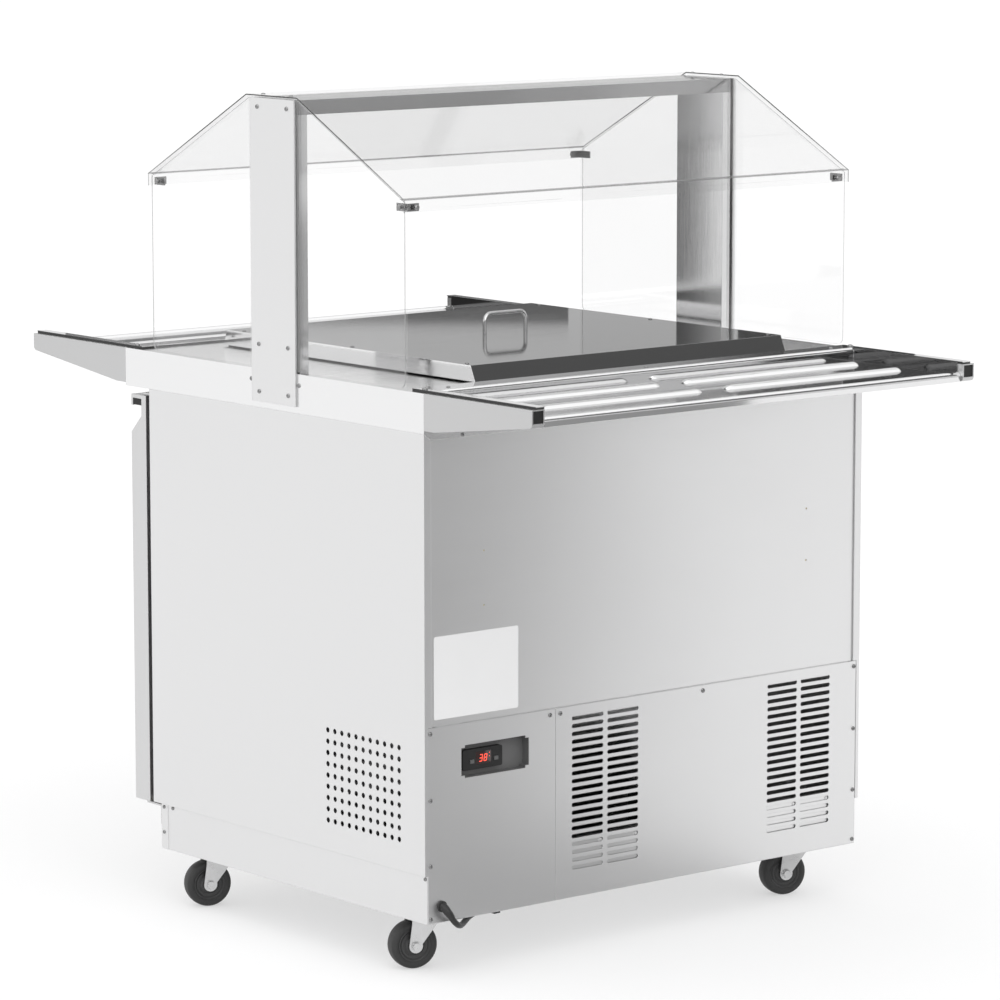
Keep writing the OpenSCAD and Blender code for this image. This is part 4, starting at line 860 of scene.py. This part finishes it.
# %% [markdown]
# Each digit has up to seven segments. A segment is a flat bar with pointed ends, made from a box
# whose end faces are drawn out and together; the digits lean a little, as on such displays, and
# two small dots stand beside them. They glow, so they stay red in any light.

# %% Controller: lit numbers
SEGMENTS = {"3": "abcdg", "8": "abcdefg"}
DIGIT_W, DIGIT_H, BAR = 6.4, 11.5, 1.35
LEAN = math.tan(math.radians(8))
TIP_OUT, TIP_THIN = BAR * 0.42, 0.12
LIT_Y, LIT_T = FACE_Y + 0.02, 0.1
DIGIT_Z, DIGITS = 337.5, {"3": -340.5, "8": -331.5}
DOT_X, DOTS_Z, DOT_HALF = -323.6, (344.2, 338.6), 0.7

glow_red = Finish("lit segment", Roughness=0.4, Emission_Strength=1.6)
core_of_light = glow_red.noise(900.0, 1.0)
glow_red.feed("Base Color", glow_red.mix(core_of_light, (0.30, 0.02, 0.015, 1), (0.40, 0.03, 0.02, 1)))
glow_red.feed("Emission Color", glow_red.mix(core_of_light, (0.85, 0.06, 0.035, 1), (1.0, 0.12, 0.07, 1)))


def segment_bar(bm, length, upright, x, z):
    made = bmesh.ops.create_cube(bm, size=1)["verts"]
    bmesh.ops.scale(bm, verts=made, vec=(length - BAR * 0.5, LIT_T, BAR))
    caps = [face for face in bm.faces
            if abs(face.normal.x) > 0.9 and all(v in made for v in face.verts)]
    for cap in caps:
        bulge = bmesh.ops.extrude_face_region(bm, geom=[cap])["geom"]
        tip = [v for v in bulge if isinstance(v, bmesh.types.BMVert)]
        way = 1 if tip[0].co.x > 0 else -1
        bmesh.ops.translate(bm, verts=tip, vec=(way * TIP_OUT, 0, 0))
        for v in tip:
            v.co.z *= TIP_THIN
        made += tip
        bmesh.ops.delete(bm, geom=[cap], context="FACES_ONLY")
    for v in made:
        if upright:
            v.co.x, v.co.z = v.co.z, v.co.x
        v.co = Vector((v.co.x + x, v.co.y, v.co.z + z))
        v.co.x += v.co.z * LEAN
    return made


def digit(bm, figure, x0):
    w, h = DIGIT_W - BAR, DIGIT_H / 2 - BAR / 2
    places = {
        "a": (w, False, 0, h), "g": (w, False, 0, 0), "d": (w, False, 0, -h),
        "b": (h, True, w / 2, h / 2), "c": (h, True, w / 2, -h / 2),
        "f": (h, True, -w / 2, h / 2), "e": (h, True, -w / 2, -h / 2)}
    for letter in SEGMENTS[figure]:
        for v in segment_bar(bm, *places[letter]):
            v.co = at(x0 + v.co.x, LIT_Y + v.co.y, DIGIT_Z + v.co.z)


bm = bmesh.new()
for figure, x in DIGITS.items():
    digit(bm, figure, x)
for z in DOTS_Z:
    block(bm, at(DOT_X - DOT_HALF, FACE_Y - 0.05, z - DOT_HALF),
          at(DOT_X + DOT_HALF, FACE_Y + 0.12, z + DOT_HALF), 0.00005, 1)
piece_of(bm, "display_numbers", "cabinet", glow_red, "black_plastic")

# %% [markdown]
# A blank white plate is stuck on the back panel, above the controller. It is thin polyester film:
# soft corners, hardly any thickness, a faint orange-peel skin. Only the four edges that run
# through its thickness are rounded.

# %% Blank plate
PLATE_LOW, PLATE_HIGH = at(-437, -388.95, 409), at(-270, -388.45, 538)
film = Finish("white film", Coat_Weight=0.25)
peel = film.noise(420.0, 2.0)
fade = film.noise(9.0, 3.0)
film.feed("Base Color", film.mix(fade, grey(0.86), grey(0.92)))
film.feed("Roughness", peel * 0.12 + 0.32)
film.bump(peel, 0.06, 0.0003)
bm = bmesh.new()
box_between(bm, PLATE_LOW, PLATE_HIGH)
across = [e for e in bm.edges if abs((e.verts[0].co - e.verts[1].co).y) > 1e-5]
round_edges(bm, across, 0.003, 5)
piece_of(bm, "blank_plate", "cabinet", film, "panel")

# %% [markdown]
# Where the lead leaves the grommet it has a moulded sleeve that tapers over 33 mm, so that it
# bends gently there. It follows the lead's own first points, a little fatter than the lead.

# %% Sleeve of the lead
SLEEVE_R = (7.4, 7.2, 6.9, 6.3, 5.6, 5.1)
sleeve_points = [at(*p) for p in (
    (-425, -386, 117), (-425, -390, 116.9), (-425, -396, 116.3), (-423, -405, 109),
    (-420.2, -408, 103.5), (-418.3, -409, 99.6))]
sleeve = cord_curve("lead_sleeve", sleeve_points, SLEEVE_R)
sleeve.data.materials.append(jacket.material)
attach(sleeve, "cabinet")
print("sleeve:", round(1000 * curve_length(sleeve_points), 1), "mm")

# %% [markdown]
# The plug is one moulding over the lead's end: a ribbed grip that swells to a round face, with
# two flat blades and a round earth pin. It lies beside the coil and points away from it. The body
# is turned; the pins are bevelled blocks and a turned rod.

# %% Plug
FORWARD = Vector((0, 1, 0))
COLLARS, COLLAR_PITCH, COLLAR_GROWS = 4, 5, 0.35
RIBS, RIB_PITCH = 5, 3.2
PLUG_LONG, PIN_ROOT = 58, 57
BLADE_X, BLADE_T, BLADE_H, BLADE_TIP = 6.35, 1.5, 6.4, 74.8
EARTH_R, EARTH_DOWN = 2.4, 7.2
plug_foot = at(COIL_X + COIL_IN + COIL_PITCH * LOWER_TURNS, COIL_Y + TAIL, PLUG_R)

grip = [(0, 0.1), (CORD_D / 2 + 0.4, 0.1)]
for k in range(COLLARS):
    foot, r = 3 + k * COLLAR_PITCH, CORD_D / 2 + k * COLLAR_GROWS
    grip += [(r + 0.9, foot), (r + 1.3, foot + 1), (r + 1.3, foot + 2.6), (r + 0.7, foot + 3.4)]
grip += [(8.0, 25), (9.4, 29), (10.0, 33)]
for k in range(RIBS):
    foot = 34.5 + k * RIB_PITCH
    grip += [(11.6, foot), (12.2, foot + 0.6), (12.2, foot + 1.8), (11.6, foot + 2.4)]
grip += [(12.9, 51.5), (PLUG_R - 0.05, 53), (PLUG_R - 0.05, 56.4), (12.4, 57.6),
         (11.5, PLUG_LONG), (0, PLUG_LONG)]
bm = bmesh.new()
turned(bm, grip, plug_foot, FORWARD, 48)
plug_piece = piece_of(bm, "plug_body", "cabinet", black_plastic, "black_plastic", "plug", hard=28)

bm = bmesh.new()
for x in (-BLADE_X, BLADE_X):
    block(bm, plug_foot + Vector((x - BLADE_T / 2, PIN_ROOT, -BLADE_H / 2)) / 1000,
          plug_foot + Vector((x + BLADE_T / 2, BLADE_TIP, BLADE_H / 2)) / 1000, 0.0005)
earth_pin = ([(0, PIN_ROOT), (2.3, PIN_ROOT), (EARTH_R, PIN_ROOT + 1)]
             + arc((0, 74.4), EARTH_R, 0, 80, 5) + [(0, 76.8)])
turned(bm, earth_pin, plug_foot - Vector((0, 0, EARTH_DOWN / 1000)), FORWARD, 24)
plug_pins = piece_of(bm, "plug_pins", "cabinet", zinc, "zinc")

# %% [markdown]
# The studio: a large pale floor and a white surround. The floor shows white to the camera and in
# reflections, and keeps the shadow under the cabinet: part of its brightness is paint, which takes
# shadow, and the rest is a constant glow that only sight and mirror rays meet. The surround is a
# little weaker for the light it throws than for the eye.

# %% Floor and surround
FLOOR_PAINT, FLOOR_GLOW, FIBRE = 0.46, 0.50, 0.01
FLOOR_REACH = 60
AMBIENT = 0.85


def sight_rays(tree):
    ray = tree.nodes.new("ShaderNodeLightPath")
    seen, mirrored, through = (Signal(tree, ray.outputs[name]) for name in
                               ("Is Camera Ray", "Is Glossy Ray", "Is Transmission Ray"))
    return seen.either(mirrored).either(through)


bm = bmesh.new()
bmesh.ops.create_grid(bm, x_segments=1, y_segments=1, size=FLOOR_REACH)
floor = as_object(bm, "studio_floor")

paper = Finish("studio paper", Roughness=0.9, Specular_IOR_Level=0.0, Emission_Color=(1, 1, 1, 1))
fibre = paper.noise(300.0, 2.0)
paper.feed("Base Color", paper.mix(fibre, grey(FLOOR_PAINT - FIBRE), grey(FLOOR_PAINT + FIBRE)))
paper.feed("Emission Strength", sight_rays(paper.tree) * FLOOR_GLOW)
paper.put_on("studio_floor")

world = bpy.data.worlds.new("surround")
world.use_nodes = True
bpy.context.scene.world = world
background = world.node_tree.nodes["Background"]
background.inputs["Color"].default_value = (1, 1, 1, 1)
strength = sight_rays(world.node_tree) * (1 - AMBIENT) + AMBIENT
world.node_tree.links.new(strength.socket, background.inputs["Strength"])

# %% [markdown]
# Polished sheet looks like metal only when it mirrors something darker than white. Grey cards
# stand round the cabinet, as a photographer would set them. In front of the operator's side are
# a low one, which the left half of the back panel mirrors, one flat on the floor for the covers
# below, a strip for the beam and a high one for the lid's sloping edge. Behind are one for the
# posts' inner faces, a low strip for the far tray slide and a small dark card for the right end
# of the near one. The last is a low dark card on the camera's side, for all that faces it: the
# handle, the screws and the slides' rolled edges. Only mirror rays meet the cards, so they cast
# no shadow and no view shows them.

# %% Cards
TOWARDS_CAMERA = (-0.637, -0.768, 0)


def card(name, middle, width, height, facing, shade):
    bm = bmesh.new()
    corners = bmesh.ops.create_grid(bm, x_segments=1, y_segments=1, size=0.5)["verts"]
    bmesh.ops.scale(bm, verts=corners, vec=(width, height, 1))
    turn = Vector(facing).to_track_quat("Z", "Y").to_matrix()
    for corner in corners:
        corner.co = Vector(middle) + turn @ corner.co
    thing = as_object(bm, name)
    cloth = Finish(name, Roughness=1.0, Specular_IOR_Level=0.0, Emission_Strength=1.0)
    weave = cloth.noise(60.0, 2.0)
    cloth.feed("Base Color", cloth.mix(weave, grey(0.01), grey(0.02)))
    cloth.feed("Emission Color", cloth.mix(weave, grey(shade * 0.97), grey(shade * 1.03)))
    cloth.put_on(name)
    thing.visible_camera = thing.visible_diffuse = thing.visible_shadow = False
    thing.visible_transmission = False


card("low_card", (0.15, -1.60, 0.25), 1.4, 1.5, (0, 1, 0), 0.32)
card("floor_card", (0.05, -1.15, 0.004), 0.7, 1.3, (0, 0, 1), 0.40)
card("beam_card", (0.95, -1.61, 1.06), 1.1, 0.52, (0, 1, 0), 0.72)
card("high_card", (1.60, -1.95, 2.10), 2.6, 1.1, (-0.5, 0.8, -0.4), 0.17)
card("rear_card", (-0.194, 1.403, 1.00), 1.0, 1.0, (0.67, -0.742, 0), 0.18)
card("right_card", (0.972, 0.231, 1.04), 0.32, 0.16, TOWARDS_CAMERA, 0.05)
card("back_card", (0.506, 1.136, 1.00), 0.95, 0.13, TOWARDS_CAMERA, 0.24)
card("front_card", (-1.90, -2.20, 0.88), 2.2, 0.75, (0.65, 0.76, 0), 0.05)


# %% [markdown]
# Soft suns give even light over the whole floor, so it has no dark horizon. The wide angle of a
# sun is the softness of its shadow.

# %% Lamps
def soft_sun(name, comes_from, strength, softness):
    data = bpy.data.lights.new(name, "SUN")
    data.energy, data.angle = strength, math.radians(softness)
    lamp = bpy.data.objects.new(name, data)
    lamp.location = Vector(comes_from) * 5
    lamp.rotation_mode = "QUATERNION"
    lamp.rotation_quaternion = (-Vector(comes_from)).to_track_quat("-Z", "Y")
    bpy.context.collection.objects.link(lamp)
    print(name, "strength", strength, "wide", softness, "degrees")


soft_sun("sun_left", (-0.55, 0.15, 0.82), 0.45, 60)
soft_sun("sun_top", (0.15, -0.10, 0.98), 0.30, 80)
soft_sun("sun_front", (-0.35, -0.80, 0.49), 0.95, 70)

# %% [markdown]
# Last, the view transform is set to Standard.

# %% View transform
scene = bpy.context.scene
scene.view_settings.view_transform = "Standard"
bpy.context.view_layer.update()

at(-425, -376, 117)
